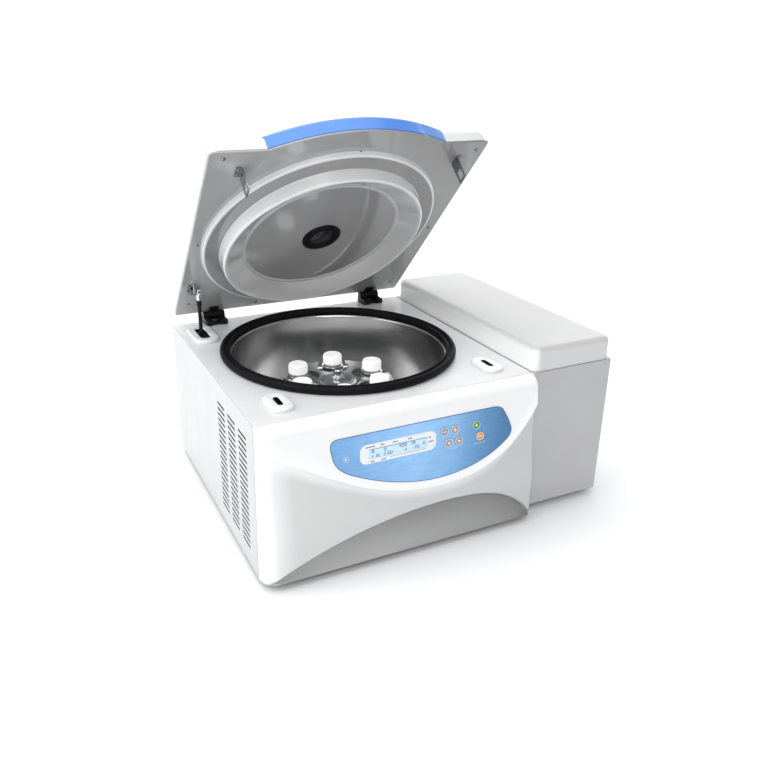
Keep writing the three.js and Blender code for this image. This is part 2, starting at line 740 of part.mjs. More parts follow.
machine.add(part('base_pan', basePan(), zinc));
machine.add(part('left_side_panel', leftSidePanel(), whiteShell));
machine.add(part('rear_panel', rearPanel(), whiteShell));
machine.add(part('side_housing', sideHousing(), whiteShell));
machine.add(part('side_cap', sideCap(), whiteShell));
machine.add(part('deck', deck(), deckPaint));
machine.add(part('front_fascia', fascia(), whiteShell));

const FEET = { front_left: [50, 50], front_right: [580, 50], rear_left: [50, 420], rear_right: [580, 420] };
for (const [place, [x, y]] of Object.entries(FEET)) {
  const mesh = part(`foot_${place}`, foot(), blackRubber);
  mesh.position.set(x, y, 0);
  machine.add(mesh);
}

const chamber = new THREE.Group();
chamber.position.set(CHAMBER.x, CHAMBER.y, 0);
chamber.add(part('chamber_gasket', gasket(), blackRubber));
chamber.add(part('bowl', bowl(), stainless));
chamber.add(part('guard_vessel', guardVessel(), zinc));
chamber.add(part('motor', motor(), paintedBlack));
chamber.add(part('spindle', spindle(), alloy));
chamber.add(part('rotor_nut', rotorNut(), alloy));
machine.add(chamber);

const head = new THREE.Group();
head.position.z = ROTOR.pivotHeight;
head.rotation.z = THREE.MathUtils.degToRad(ROTOR.phase);
head.add(part('rotor_head', rotorHead(), alloy));
eachPlace((i, angle) => {
  const place = new THREE.Group();
  place.rotation.z = angle;
  const swing = new THREE.Group();
  swing.position.x = ROTOR.pivotRadius;
  swing.add(part(`bucket_${i + 1}`, bucket(), alloy));
  swing.add(part(`tube_${i + 1}`, tube(), whiteCap));
  place.add(swing);
  head.add(place);
});
chamber.add(head);

const lid = new THREE.Group();
lid.position.set(0, HINGE.y, HINGE.z);
lid.rotation.x = -THREE.MathUtils.degToRad(LID.openAngle);
lid.add(part('lid_shell', lidShell(), whiteShell));
lid.add(part('lid_panel', lidPanel(), panelGrey));
lid.add(part('lid_grip', lidGrip(), gripBlue));
lid.add(part('sight_port', sightPort(), blackRubber));
lid.add(part('striker_left', striker(LATCH.xs[0], -1), zinc));
lid.add(part('striker_right', striker(LATCH.xs[1], 1), zinc));
lid.add(part('strut_stud', strutStud(), zinc));
['left', 'right'].forEach((side, i) => {
  const leaf = part(`hinge_leaf_${side}`, hingeLeaf(), blackPlastic);
  leaf.position.x = HINGE.centres[i];
  lid.add(leaf);
  const base = part(`hinge_base_${side}`, hingeBase(), blackPlastic);
  base.position.set(HINGE.centres[i], HINGE.y, HINGE.z);
  machine.add(base);
});
machine.add(lid);

const open = THREE.MathUtils.degToRad(LID.openAngle);
const eyeY = HINGE.y - STRUT.t * Math.cos(open) - STRUT.lowerY;
const eyeZ = HINGE.z + STRUT.t * Math.sin(open) - STRUT.lowerZ;
const strut = new THREE.Group();
strut.position.set(STRUT.x, STRUT.lowerY, STRUT.lowerZ);
strut.rotation.x = -Math.atan2(eyeY, eyeZ);
strut.add(part('strut_cylinder', strutTube(), paintedBlack));
strut.add(part('strut_rod', strutRod(Math.hypot(eyeY, eyeZ)), paintedBlack));
machine.add(strut);

['left', 'right'].forEach((side, i) => {
  const inward = i === 0 ? 1 : -1;
  const housing = part(`latch_housing_${side}`, latchHousing(inward), whiteShell);
  const bolt = part(`latch_bolt_${side}`, latchBolt(inward), zinc);
  for (const mesh of [housing, bolt]) {
    mesh.position.set(LATCH.xs[i], LATCH.y, 0);
    machine.add(mesh);
  }
});
machine.add(part('strut_escutcheon', strutEscutcheon(), whiteShell));

const panel = panelFrame();
panel.add(part('control_overlay', controlOverlay(), overlayBlue));
panel.add(part('display_module', displayModule(), displayBlue));
const BUTTON_FINISHES = { button_start: buttonGreen, button_stop: buttonOrange };
for (const [name, [u, v]] of Object.entries(BUTTONS)) {
  const mesh = part(name, button(), BUTTON_FINISHES[name] ?? buttonGrey);
  mesh.position.set(u, v, 0);
  panel.add(mesh);
}
machine.add(panel);

machine.add(part('condensing_unit', condensingUnit(), paintedBlack));
const fanMesh = part('fan', fan(), blackPlastic);
fanMesh.position.set(550, 430, 118);
machine.add(fanMesh);
machine.add(part('power_inlet', powerInlet(), blackPlastic));
const rocker = part('power_switch', powerSwitch(), blackPlastic);
rocker.position.set(119, BODY.depth - 1, 56);
machine.add(rocker);

const assembly = new THREE.Group();
assembly.add(machine);
assembly.updateMatrixWorld(true);

export default assembly;
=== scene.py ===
"""Looks of a benchtop refrigerated laboratory centrifuge with its lid open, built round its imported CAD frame.

Solids are drawn in millimetres: in the machine's own axes (x from the left side, y from the front, z up),
in the lid's axes as if the lid were closed, or in the axes of the strut, the rotor or the control panel.
"""

import json
import math

import bmesh
import bpy
from mathutils import Matrix, Vector
from mathutils.geometry import delaunay_2d_cdt


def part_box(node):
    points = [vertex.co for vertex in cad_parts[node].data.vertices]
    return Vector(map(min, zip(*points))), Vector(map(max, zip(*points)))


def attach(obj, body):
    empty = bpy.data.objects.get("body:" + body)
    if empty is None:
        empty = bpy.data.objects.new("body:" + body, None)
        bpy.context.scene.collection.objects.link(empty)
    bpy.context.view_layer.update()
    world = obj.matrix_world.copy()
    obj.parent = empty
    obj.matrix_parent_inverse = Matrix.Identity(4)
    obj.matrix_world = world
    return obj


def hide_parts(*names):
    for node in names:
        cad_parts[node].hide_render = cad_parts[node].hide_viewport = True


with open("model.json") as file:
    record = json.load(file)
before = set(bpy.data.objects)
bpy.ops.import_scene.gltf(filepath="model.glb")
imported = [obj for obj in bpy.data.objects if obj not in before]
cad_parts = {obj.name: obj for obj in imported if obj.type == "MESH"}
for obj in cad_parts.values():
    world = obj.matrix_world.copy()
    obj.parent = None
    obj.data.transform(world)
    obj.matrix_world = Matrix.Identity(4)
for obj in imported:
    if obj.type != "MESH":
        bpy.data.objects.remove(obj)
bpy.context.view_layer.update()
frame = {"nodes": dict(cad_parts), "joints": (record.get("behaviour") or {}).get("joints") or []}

# -------------------- frames of reference

MM = Matrix.Scale(0.001, 4)
JOINTS = {joint["name"]: joint for joint in frame["joints"]}
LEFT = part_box("left_side_panel")[0].x
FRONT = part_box("side_housing")[0].y

MACHINE = Matrix.Translation((LEFT, FRONT, 0)) @ MM
TO_MACHINE = MACHINE.inverted()


def machine_point(row_point):
    return TO_MACHINE @ Vector(row_point)


HINGE = machine_point(JOINTS["lid_hinge"]["pos_m"])
LID_OPEN = math.radians(JOINTS["lid_hinge"]["range_deg"][1])
LID = MACHINE @ Matrix.Translation((0, HINGE.y, HINGE.z)) @ Matrix.Rotation(-LID_OPEN, 4, "X")

STRUT_FOOT = machine_point(JOINTS["strut_swing"]["pos_m"])
STRUT_AXIS = Vector(JOINTS["strut_slide"]["axis"])
STRUT_LEAN = math.atan2(STRUT_AXIS.y, STRUT_AXIS.z)
STRUT = MACHINE @ Matrix.Translation(STRUT_FOOT) @ Matrix.Rotation(-STRUT_LEAN, 4, "X")

CHAMBER = machine_point(JOINTS["rotor_spin"]["pos_m"])
PIVOT = machine_point(JOINTS["bucket_1_swing"]["pos_m"])
ROTOR_PHASE = math.atan2(PIVOT.y - CHAMBER.y, PIVOT.x - CHAMBER.x)
PIVOT_RADIUS = math.hypot(PIVOT.y - CHAMBER.y, PIVOT.x - CHAMBER.x)
BOWL = MACHINE @ Matrix.Translation((CHAMBER.x, CHAMBER.y, 0))
HEAD = MACHINE @ Matrix.Translation(CHAMBER) @ Matrix.Rotation(ROTOR_PHASE, 4, "Z")

# -------------------- driving sizes, in mm

BODY_WIDTH = 468
BODY_DEPTH = 467
BODY_BOTTOM = 12
BODY_TOP = 258
BODY_HEIGHT = BODY_TOP - BODY_BOTTOM
TOTAL_WIDTH = 630
GAP = 0.3

FASCIA_FACE = -18
FASCIA_TILT = 0.05
FASCIA_CROWN = 226
FASCIA_CORNER = 22
FASCIA_END_ROUND = 4
FASCIA_TOP_ROUND = 20
FASCIA_WALL = 3
LOWER_FACE = -15
LOWER_SWELL = 10.5
LIP = 1.6
RECESS = 11

# Edge of the raised upper face: heights by powers of (x - SMILE_X) / SMILE_X. Arch along the foot: its
# height falls from ARCH_TOP at ARCH_X with the square, and to the right also with the fourth power.
SMILE_X = 234
SMILE = [55.0, 15.3, -16.7, 85.7, -38.6, 103.7]
ARCH_X = 300
ARCH_TOP = 71
ARCH_SQUARE = 0.0008
ARCH_FOURTH = 5.5e-8

PANEL_X = 260
PANEL_HEIGHT = 170
PANEL_Y = FASCIA_FACE - FASCIA_TILT * (FASCIA_CROWN - PANEL_HEIGHT)
PANEL = (
    MACHINE
    @ Matrix.Translation((PANEL_X, PANEL_Y, BODY_BOTTOM + PANEL_HEIGHT))
    @ Matrix.Rotation(math.pi / 2 - math.atan(FASCIA_TILT), 4, "X")
)

PANEL_Z = 7
LID_TOP = 37
LID_LEFT = 4
LID_RIGHT = 466
LID_LENGTH = 444
BULGE_CENTRE = 237
BULGE_HALF = 147
BULGE_SAGITTA = 34
GRIP_DEPTH = 12
RING_T = HINGE.y - CHAMBER.y
LATCH_X = {"left": 57, "right": 418}
LATCH_Y = 58
STRUT_SLOT = (36, 389)
KEYS = {
    "minus": (32.5, 19),
    "plus": (51, 19),
    "left": (40, -1),
    "right": (59, -1),
    "start": (89.5, 19),
    "stop": (97, -1),
}
KEY_RADIUS = 6.8

# -------------------- camera, floor and light

CAMERA_PLACE = (-0.5997, -1.1339, 0.7285)
CAMERA_YAW = math.radians(25.72)
CAMERA_PITCH = math.radians(21.13)
CAMERA_ROLL = math.radians(0.59)
CAMERA_LENS = 36.33
CAMERA_SHIFT = 0.0378


def link(thing):
    bpy.context.scene.collection.objects.link(thing)


def add_camera():
    data = bpy.data.cameras.new("camera")
    data.lens = CAMERA_LENS
    data.sensor_width = 36
    data.shift_x = CAMERA_SHIFT
    data.shift_y = -CAMERA_SHIFT
    camera = bpy.data.objects.new("camera", data)
    camera.matrix_world = (
        Matrix.Translation(CAMERA_PLACE)
        @ Matrix.Rotation(-CAMERA_YAW, 4, "Z")
        @ Matrix.Rotation(math.pi / 2 - CAMERA_PITCH, 4, "X")
        @ Matrix.Rotation(CAMERA_ROLL, 4, "Z")
    )
    link(camera)
    bpy.context.scene.camera = camera


def add_area(name, place, target, size, power, colour=(1, 1, 1)):
    data = bpy.data.lights.new(name, "AREA")
    data.shape = "RECTANGLE"
    data.size, data.size_y = size
    data.energy = power
    data.color = colour
    light = bpy.data.objects.new(name, data)
    light.location = place
    aim = Vector(target) - Vector(place)
    light.rotation_euler = aim.to_track_quat("-Z", "Y").to_euler()
    link(light)


def add_studio():
    world = bpy.data.worlds.new("studio")
    bpy.context.scene.world = world
    world.use_nodes = True
    background = world.node_tree.nodes["Background"]
    background.inputs["Color"].default_value = (1, 1, 1, 1)
    background.inputs["Strength"].default_value = 0.34
    add_area("key_left", (-2.8, 0.1, 1.7), (0, 0, 0.15), (2.2, 2.2), 52)
    add_area("top_soft", (-0.2, 0.3, 2.8), (0, 0, 0.2), (2.6, 2.6), 46)
    add_area("front_high", (-0.9, -2.3, 2.1), (0, 0, 0.2), (2.0, 1.4), 34)
    add_area("backdrop_wash", (-0.6, 1.9, 3.0), (1.5, 3.0, 1.4), (2.4, 0.8), 36)
    add_area("backdrop_right", (2.4, 0.9, 2.6), (3.0, 2.2, 0.9), (1.6, 0.8), 30)
    bpy.context.scene.view_settings.view_transform = "Standard"


# -------------------- outlines in a plane


def arc(cx, cy, radius, start, end, steps=12):
    """Points of an arc from one angle to another, in degrees."""
    angles = [math.radians(start + (end - start) * i / steps) for i in range(steps + 1)]
    return [(cx + radius * math.cos(a), cy + radius * math.sin(a)) for a in angles]


def circle(cx, cy, radius, steps=96):
    return arc(cx, cy, radius, 0, 360, steps)[:-1]


def rounded_rect(cx, cy, width, height, radius, steps=8):
    w, h = width / 2 - radius, height / 2 - radius
    return (
        arc(cx + w, cy - h, radius, -90, 0, steps)
        + arc(cx + w, cy + h, radius, 0, 90, steps)
        + arc(cx - w, cy + h, radius, 90, 180, steps)
        + arc(cx - w, cy - h, radius, 180, 270, steps)
    )


def bezier(points, steps=16):
    """Points of a quadratic or cubic curve, without its first one."""
    made = []
    for i in range(1, steps + 1):
        t = i / steps
        level = [Vector(p) for p in points]
        while len(level) > 1:
            level = [a.lerp(b, t) for a, b in zip(level, level[1:])]
        made.append(tuple(level[0]))
    return made


def soften(points, closed=False, steps=6):
    """Rounds the corners of a line of (x, y, radius) points."""
    made = []
    count = len(points)
    for i, point in enumerate(points):
        here = Vector(point[:2])
        radius = point[2] if len(point) > 2 else 0
        ends = not closed and i in (0, count - 1)
        if radius == 0 or ends:
            made.append(tuple(here))
            continue
        before = Vector(points[i - 1][:2]) - here
        after = Vector(points[(i + 1) % count][:2]) - here
        half = before.angle(after) / 2
        if half < 1e-3 or half > math.pi / 2 - 1e-3:
            made.append(tuple(here))
            continue
        reach = min(radius / math.tan(half), 0.49 * before.length, 0.49 * after.length)
        a = here + before.normalized() * reach
        b = here + after.normalized() * reach
        middle = (before.normalized() + after.normalized()).normalized()
        centre = here + middle * (reach / math.cos(half))
        start, end = a - centre, b - centre
        turn = start.angle_signed(end)
        for k in range(steps + 1):
            angle = -turn * k / steps
            c, s = math.cos(angle), math.sin(angle)
            made.append((centre.x + start.x * c - start.y * s, centre.y + start.x * s + start.y * c))
    return made


def tidy_loop(points, tolerance=1e-4):
    """Drops points that coincide with the one before."""
    kept = []
    for p in points:
        if not kept or math.dist(p, kept[-1]) > tolerance:
            kept.append(p)
    if math.dist(kept[0], kept[-1]) <= tolerance:
        kept.pop()
    return kept


def signed_area(loop):
    return sum(a[0] * b[1] - b[0] * a[1] for a, b in zip(loop, loop[1:] + loop[:1])) / 2


def offset_loop(loop, distance):
    """Moves a loop towards the material on its left by a distance."""
    moved = []
    for before, here, after in zip(loop[-1:] + loop[:-1], loop, loop[1:] + loop[:1]):
        a = (Vector(here) - Vector(before)).normalized()
        b = (Vector(after) - Vector(here)).normalized()
        na, nb = Vector((-a.y, a.x)), Vector((-b.y, b.x))
        normal = (na + nb).normalized() if (na + nb).length > 1e-6 else na
        stretch = min(1 / max(normal.dot(na), 0.3), 2.5)
        moved.append((here[0] + normal.x * distance * stretch, here[1] + normal.y * distance * stretch))
    return moved


# -------------------- solids, as meshes in mm


def to_mesh(verts, faces):
    mesh = bpy.data.meshes.new("solid")
    mesh.from_pydata([tuple(v) for v in verts], [], faces)
    made = bmesh.new()
    made.from_mesh(mesh)
    bmesh.ops.remove_doubles(made, verts=made.verts, dist=1e-5)
    bmesh.ops.recalc_face_normals(made, faces=made.faces)
    made.to_mesh(mesh)
    made.free()
    return mesh


def join(*solids):
    """Several solids as one mesh, each still closed on its own."""
    made = bmesh.new()
    for solid in solids:
        made.from_mesh(solid)
    mesh = bpy.data.meshes.new("solid")
    made.to_mesh(mesh)
    made.free()
    return mesh


def moved(solid, matrix):
    solid.transform(matrix)
    return solid


def at(x, y, z=0):
    return Matrix.Translation((x, y, z))


def turn(degrees, axis):
    return Matrix.Rotation(math.radians(degrees), 4, axis)


def turned_in_plane(points, degrees):
    c, s = math.cos(math.radians(degrees)), math.sin(math.radians(degrees))
    return [(x * c - y * s, x * s + y * c) for x, y in points]


# Stands a drawing up: its X runs along +Y and its Y along +Z.
UPRIGHT = Matrix(((0, 0, 1, 0), (1, 0, 0, 0), (0, 1, 0, 0), (0, 0, 0, 1)))


def lathe(profile, steps=96):
    """Solid turned about Z from (radius, height) points. A profile off the axis closes on itself."""
    profile = tidy_loop(profile) if profile[0][0] > 0 or profile[-1][0] > 0 else list(profile)
    closed = profile[0][0] > 1e-6 and profile[-1][0] > 1e-6
    verts, rings = [], []
    for radius, height in profile:
        if radius < 1e-6:
            rings.append([len(verts)] * steps)
            verts.append((0, 0, height))
            continue
        rings.append(list(range(len(verts), len(verts) + steps)))
        for k in range(steps):
            angle = 2 * math.pi * k / steps
            verts.append((radius * math.cos(angle), radius * math.sin(angle), height))
    faces = []
    pairs = list(zip(rings, rings[1:])) + ([(rings[-1], rings[0])] if closed else [])
    for low, high in pairs:
        for k in range(steps):
            quad = [low[k], low[(k + 1) % steps], high[(k + 1) % steps], high[k]]
            face = [v for i, v in enumerate(quad) if v != quad[i - 1]]
            if len(face) > 2:
                faces.append(face)
    return to_mesh(verts, faces)


def turned(points, steps=96, closed=False, rounding=6):
    """Solid turned about Z from (radius, height, corner radius) points."""
    return lathe(soften(points, closed=closed, steps=rounding), steps)


INSIDE_WITH_HOLES = 2


def plate(outline, z0, z1, holes=(), low=0.0, high=0.0, steps=4):
    """Flat solid of an outline with holes, its lower and upper edges rounded by the radii low and high."""
    loops = []
    for i, loop in enumerate([outline, *holes]):
        loop = tidy_loop(loop)
        if (signed_area(loop) > 0) != (i == 0):
            loop = loop[::-1]
        loops.append(loop)
    levels = []
    for k in range(steps + 1 if low else 1):
        a = math.pi / 2 * k / steps
        levels.append((low * (1 - math.sin(a)), z0 + low * (1 - math.cos(a))))
    for k in range(steps + 1 if high else 1):
        a = math.pi / 2 * (1 - k / steps)
        levels.append((high * (1 - math.sin(a)), z1 - high * (1 - math.cos(a))))
    if not low and not high:
        levels = [(0, z0), (0, z1)]
    verts, faces, ring_start = [], [], []
    for inset, z in levels:
        starts = []
        for loop in loops:
            starts.append(len(verts))
            verts += [(x, y, z) for x, y in (offset_loop(loop, inset) if inset else loop)]
        ring_start.append(starts)
    for lower, upper in zip(ring_start, ring_start[1:]):
        for a, b, loop in zip(lower, upper, loops):
            n = len(loop)
            faces += [(a + k, a + (k + 1) % n, b + (k + 1) % n, b + k) for k in range(n)]
    for starts in (ring_start[0], ring_start[-1]):
        flat, areas, index = [], [], []
        for start, loop in zip(starts, loops):
            areas.append(list(range(len(flat), len(flat) + len(loop))))
            flat += [Vector(verts[start + k][:2]) for k in range(len(loop))]
            index += [start + k for k in range(len(loop))]
        parts = delaunay_2d_cdt(flat, [], areas, INSIDE_WITH_HOLES, 1e-6)
        tris, origin = parts[2:4]
        faces += [tuple(index[origin[v][0]] for v in tri) for tri in tris]
    return to_mesh(verts, faces)


def framed(middle, outer, inner, z0, z1, **edges):
    """Plate with a hole. Both are rounded rectangles of (width, height, radius, steps) about a middle."""
    return plate(rounded_rect(*middle, *outer), z0, z1, [rounded_rect(*middle, *inner)], **edges)


def block(x0, y0, z0, x1, y1, z1, edge=0.0, steps=2):
    """Box between two corners with rounded edges."""
    made = bmesh.new()
    bmesh.ops.create_cube(made, size=1)
    bmesh.ops.scale(made, vec=(x1 - x0, y1 - y0, z1 - z0), verts=made.verts)
    bmesh.ops.translate(made, vec=((x0 + x1) / 2, (y0 + y1) / 2, (z0 + z1) / 2), verts=made.verts)
    if edge:
        bmesh.ops.bevel(made, geom=made.edges[:], offset=edge, segments=steps, profile=0.5, affect="EDGES")
    mesh = bpy.data.meshes.new("solid")
    made.to_mesh(mesh)
    made.free()
    return mesh


def rod(radius, start, end, edge=0.0, steps=32):
    """Round bar between two points, its ends rounded off by an edge radius."""
    start, end = Vector(start), Vector(end)
    length = (end - start).length
    bar = turned([(0, 0), (radius, 0, edge), (radius, length, edge), (0, length)], steps, rounding=3)
    lean = (end - start).to_track_quat("Z", "Y").to_matrix().to_4x4()
    return moved(bar, Matrix.Translation(start) @ lean)


def combine(solid, others, operation="DIFFERENCE"):
    """Cuts the other solids out of a solid, or adds or intersects them."""
    body = bpy.data.objects.new("body", solid)
    link(body)
    tools = []
    for other in others:
        tool = bpy.data.objects.new("tool", other)
        link(tool)
        tools.append(tool)
        modifier = body.modifiers.new("combine", "BOOLEAN")
        modifier.operation = operation
        modifier.solver = "EXACT"
        modifier.object = tool
    bpy.context.view_layer.update()
    graph = bpy.context.evaluated_depsgraph_get()
    mesh = bpy.data.meshes.new_from_object(body.evaluated_get(graph))
    for thing in [body, *tools]:
        bpy.data.objects.remove(thing)
    return mesh


# -------------------- materials

MILLIMETRES = (1000, 1000, 1000)


class Look:
    """A material in the making. Its methods add nodes and give the sockets that these end in."""

    def __init__(self, name):
        self.material = bpy.data.materials.new(name)
        self.material.use_nodes = True
        self.tree = self.material.node_tree

    def feed(self, made, inputs):
        """Links or sets a node's inputs, which are (name or index, socket or value) pairs."""
        for key, value in inputs:
            if isinstance(value, bpy.types.NodeSocket):
                self.tree.links.new(value, made.inputs[key])
            else:
                made.inputs[key].default_value = value

    def node(self, kind, inputs=(), **settings):
        made = self.tree.nodes.new(f"ShaderNode{kind}")
        for key, value in settings.items():
            setattr(made, key, value)
        self.feed(made, inputs)
        return made

    def maths(self, operation, *values, clamp=False):
        made = self.node("Math", enumerate(values), operation=operation, use_clamp=clamp)
        return made.outputs["Value"]

    def polynomial(self, value, coefficients):
        """Polynomial of a value, from its highest coefficient down."""
        total = coefficients[0]
        for coefficient in coefficients[1:]:
            total = self.maths("MULTIPLY_ADD", total, value, coefficient)
        return total

    def space(self, stretch=(1, 1, 1), origin=(0, 0, 0)):
        """Object coordinates from an origin in metres, stretched."""
        coordinates = self.node("TexCoord").outputs["Object"]
        location = [-o * s for o, s in zip(origin, stretch)]
        pairs = [("Vector", coordinates), ("Scale", stretch), ("Location", location)]
        return self.node("Mapping", pairs, vector_type="POINT").outputs["Vector"]

    def split(self, vector):
        return self.node("SeparateXYZ", [("Vector", vector)]).outputs[:]

    def length(self, vector):
        return self.node("VectorMath", [(0, vector)], operation="LENGTH").outputs["Value"]

    def noise(self, vector, scale, detail=2.0, rough=0.5):
        pairs = [("Vector", vector), ("Scale", scale), ("Detail", detail), ("Roughness", rough)]
        return self.node("TexNoise", pairs).outputs["Fac"]

    def spread(self, value, low, high, start=0.3, stop=0.7):
        """Maps a value from start..stop to low..high, clamped."""
        pairs = [("Value", value), ("From Min", start), ("From Max", stop), ("To Min", low), ("To Max", high)]
        return self.node("MapRange", pairs).outputs["Result"]

    def share(self, value, start, stop):
        """How far a value is from start to stop, from 0 to 1."""
        return self.spread(value, 0, 1, start, stop)

    def blend(self, factor, *colours):
        """Mix of two colours, each a socket, (r, g, b) or one number for a grey."""
        pairs = [("Factor", factor)]
        for key, colour in zip((6, 7), colours):
            if isinstance(colour, float):
                colour = (colour, colour, colour)
            if not isinstance(colour, bpy.types.NodeSocket):
                colour = (*colour, 1)
            pairs.append((key, colour))
        return self.node("Mix", pairs, data_type="RGBA").outputs[2]

    def clouded(self, space, amount, tint, dark):
        """A tint with faint clouds of a darker grey."""
        return self.blend(self.spread(self.noise(space, 14, 4), 0, amount), tint, dark)

    def bump(self, height, millimetres, under=()):
        """Normal of a relief with a depth in mm, over another normal if one is given."""
        pairs = [("Height", height), ("Strength", 1.0), ("Distance", millimetres * 0.001), *under]
        return [("Normal", self.node("Bump", pairs).outputs["Normal"])]

    def finish(self, tint, roughness, relief, **others):
        """Sets the shader and gives the material. Words in the others' names are joined by _ here."""
        pairs = [("Base Color", tint), ("Roughness", roughness), *relief]
        pairs += [(key.replace("_", " "), value) for key, value in others.items()]
        self.feed(self.tree.nodes["Principled BSDF"], pairs)
        return self.material


def surface(name, colour, roughness, metallic=0.0, coat=0.0, mottle=0.03, smudge=0.05,
            grain=(900, 0.3), ripple=(60, 0.0), **others):
    """Clouded colour, uneven gloss, and fine grain over a long ripple, as (noise scale, height in mm)."""
    look = Look(name)
    space = look.space()
    darker = [c * (1 - mottle) for c in colour]
    lighter = [min(1, c * (1 + mottle * 0.6)) for c in colour]
    tint = look.blend(look.share(look.noise(space, 14, 4), 0.3, 0.7), darker, lighter)
    wipe = look.noise(space, 38, 5, 0.6)
    gloss = look.spread(wipe, max(0.02, roughness - smudge), min(1, roughness + smudge))
    under = look.bump(look.noise(space, ripple[0]), ripple[1]) if ripple[1] else ()
    relief = look.bump(look.noise(space, grain[0]), grain[1], under)
    others |= {"Metallic": metallic, "Coat_Weight": coat, "Coat_Roughness": 0.08}
    return look.finish(tint, gloss, relief, **others)


def turned_metal(name, colour, roughness, pitch, **others):
    """Metal with fine turning marks round the chamber's axis."""
    look = Look(name)
    axis = MACHINE @ Vector((CHAMBER.x, CHAMBER.y, 0))
    space = look.space(origin=axis)
    x, y, z = look.split(space)
    radius = look.length(look.node("CombineXYZ", [("X", x), ("Y", y)]).outputs["Vector"])
    rings = look.node("CombineXYZ", [("X", radius), ("Y", z)]).outputs["Vector"]
    marks = look.noise(rings, pitch, 5, 0.7)
    cloud = look.noise(space, 18, 4)
    paler = [min(1, c * 1.06) for c in colour]
    tint = look.blend(look.share(cloud, 0.3, 0.7), [c * 0.9 for c in colour], paler)
    gloss = look.spread(look.maths("MULTIPLY", marks, cloud), roughness * 0.88, roughness * 1.14, 0.1, 0.45)
    return look.finish(tint, gloss, look.bump(marks, 0.02), Metallic=1.0, **others)


def overlay_film():
    """Printed membrane: blue that is lighter in the middle, with faint fibre streaks."""
    look = Look("overlay_film")
    centre = PANEL @ Vector((-20, 25, 0))
    space = look.space(origin=centre)
    x, _, z = look.split(space)
    fade = look.share(look.maths("ABSOLUTE", x), 0.0, 0.19)
    streaks = look.spread(look.noise(look.space((6, 6, 30), centre), 6, 4), -0.12, 0.12)
    down = look.spread(z, 0.2, 0, -0.08, 0.0)
    total = look.maths("ADD", look.maths("ADD", fade, streaks), down, clamp=True)
    tint = look.blend(total, (0.33, 0.61, 0.97), (0.1, 0.31, 0.62))
    tint = look.blend(look.share(x, 0.07, 0.17), tint, (0.05, 0.19, 0.39))
    gloss = look.spread(look.noise(space, 60, 4), 0.26, 0.4)
    return look.finish(tint, gloss, look.bump(look.noise(space, 2600), 0.02))


def fascia_painted_shade():
    """Moulded white front with painted light and shade: bright upper face with a painted highlight along its
    lower edge, lower face painted duller as shade, and darker painted shade in the recess under the arch.
    """
    look = Look("fascia_painted_shade")
    across, _, height = look.split(look.space(MILLIMETRES, MACHINE @ Vector((0, 0, BODY_BOTTOM))))
    smile = look.polynomial(look.polynomial(across, [1 / SMILE_X, -1.0]), SMILE)
    above = look.maths("SUBTRACT", height, smile)
    d = look.maths("SUBTRACT", across, ARCH_X)
    fourth = look.maths("POWER", look.maths("MAXIMUM", d, 0.0), 4.0)
    drop = look.maths("MULTIPLY_ADD", look.maths("MULTIPLY", d, d), ARCH_SQUARE, -ARCH_TOP)
    drop = look.maths("MULTIPLY_ADD", fourth, ARCH_FOURTH, drop)
    depth = look.maths("SUBTRACT", look.maths("MULTIPLY", drop, -1.0), height)

    white = (0.9, 0.905, 0.91)
    # Painted shade: the lower face is greyed, more so to the right, fading back to white at the lit left
    # corner.
    lower = look.blend(look.share(across, 60, 460), 0.66, (0.56, 0.56, 0.565))
    lower = look.blend(look.share(across, 14, 50), white, lower)
    # Painted highlight: the upper face is paler just above its lower edge.
    upper = look.blend(look.share(above, 8, 34), 0.97, white)
    softness = look.spread(across, -26, -15, 40, 150)
    faces = look.blend(look.share(above, softness, 3.0), lower, upper)
    # Painted shade in the arch's recess: darkest at its top edge, lighter to the left and darker to the right.
    grey = look.blend(look.share(depth, 0, 55), 0.2, 0.4)
    grey = look.blend(look.spread(across, 0.45, 0, 40, 260), grey, 0.5)
    grey = look.blend(look.spread(across, 0, 0.5, 200, 460), grey, 0.17)
    tint = look.blend(look.share(depth, -1.5, 4), faces, grey)

    space = look.space()
    tint = look.clouded(space, 0.04, tint, 0.4)
    gloss = look.spread(look.noise(space, 20), 0.27, 0.3, 0.0, 1.0)
    relief = look.bump(look.noise(space, 2400), 0.006)
    return look.finish(tint, gloss, relief, Coat_Weight=0.4, Coat_Roughness=0.12)


def cap_painted_light():
    """Satin white cover with painted light and shade: faces turned to the left are painted brightest and the
    top is painted darkest.
    """
    look = Look("cap_painted_light")
    x, _, z = look.split(look.node("NewGeometry").outputs["True Normal"])
    # Painted light by the face's normal: left-facing faces lightened, the top darkened.
    side = look.blend(look.spread(x, 1, 0, -0.9, -0.1), (0.66, 0.66, 0.665), 0.95)
    space = look.space()
    tint = look.clouded(space, 0.05, look.blend(look.share(z, 0.1, 0.9), side, 0.5), 0.35)
    gloss = look.spread(look.noise(space, 38, 3), 0.3, 0.38)
    return look.finish(tint, gloss, look.bump(look.noise(space, 2400), 0.02), Coat_Weight=0.2)


# Greys of the lid's moulding by the distance in mm from the chamber's axis, painted to stand in for light: the
# paler bands on the plug's face and wall and on the rims are painted highlights, the dark band in the channel
# between them painted shade.
LID_PAINTED_LIGHT_BANDS = [
    (120, 0.34), (131.5, 0.34), (133, 0.6), (138, 0.6), (167.5, 0.62), (169.5, 0.74), (176.9, 0.74),
    (177.5, 0.27), (200.5, 0.27), (202, 0.76), (206.1, 0.76), (206.7, 0.38), (220, 0.38),
]


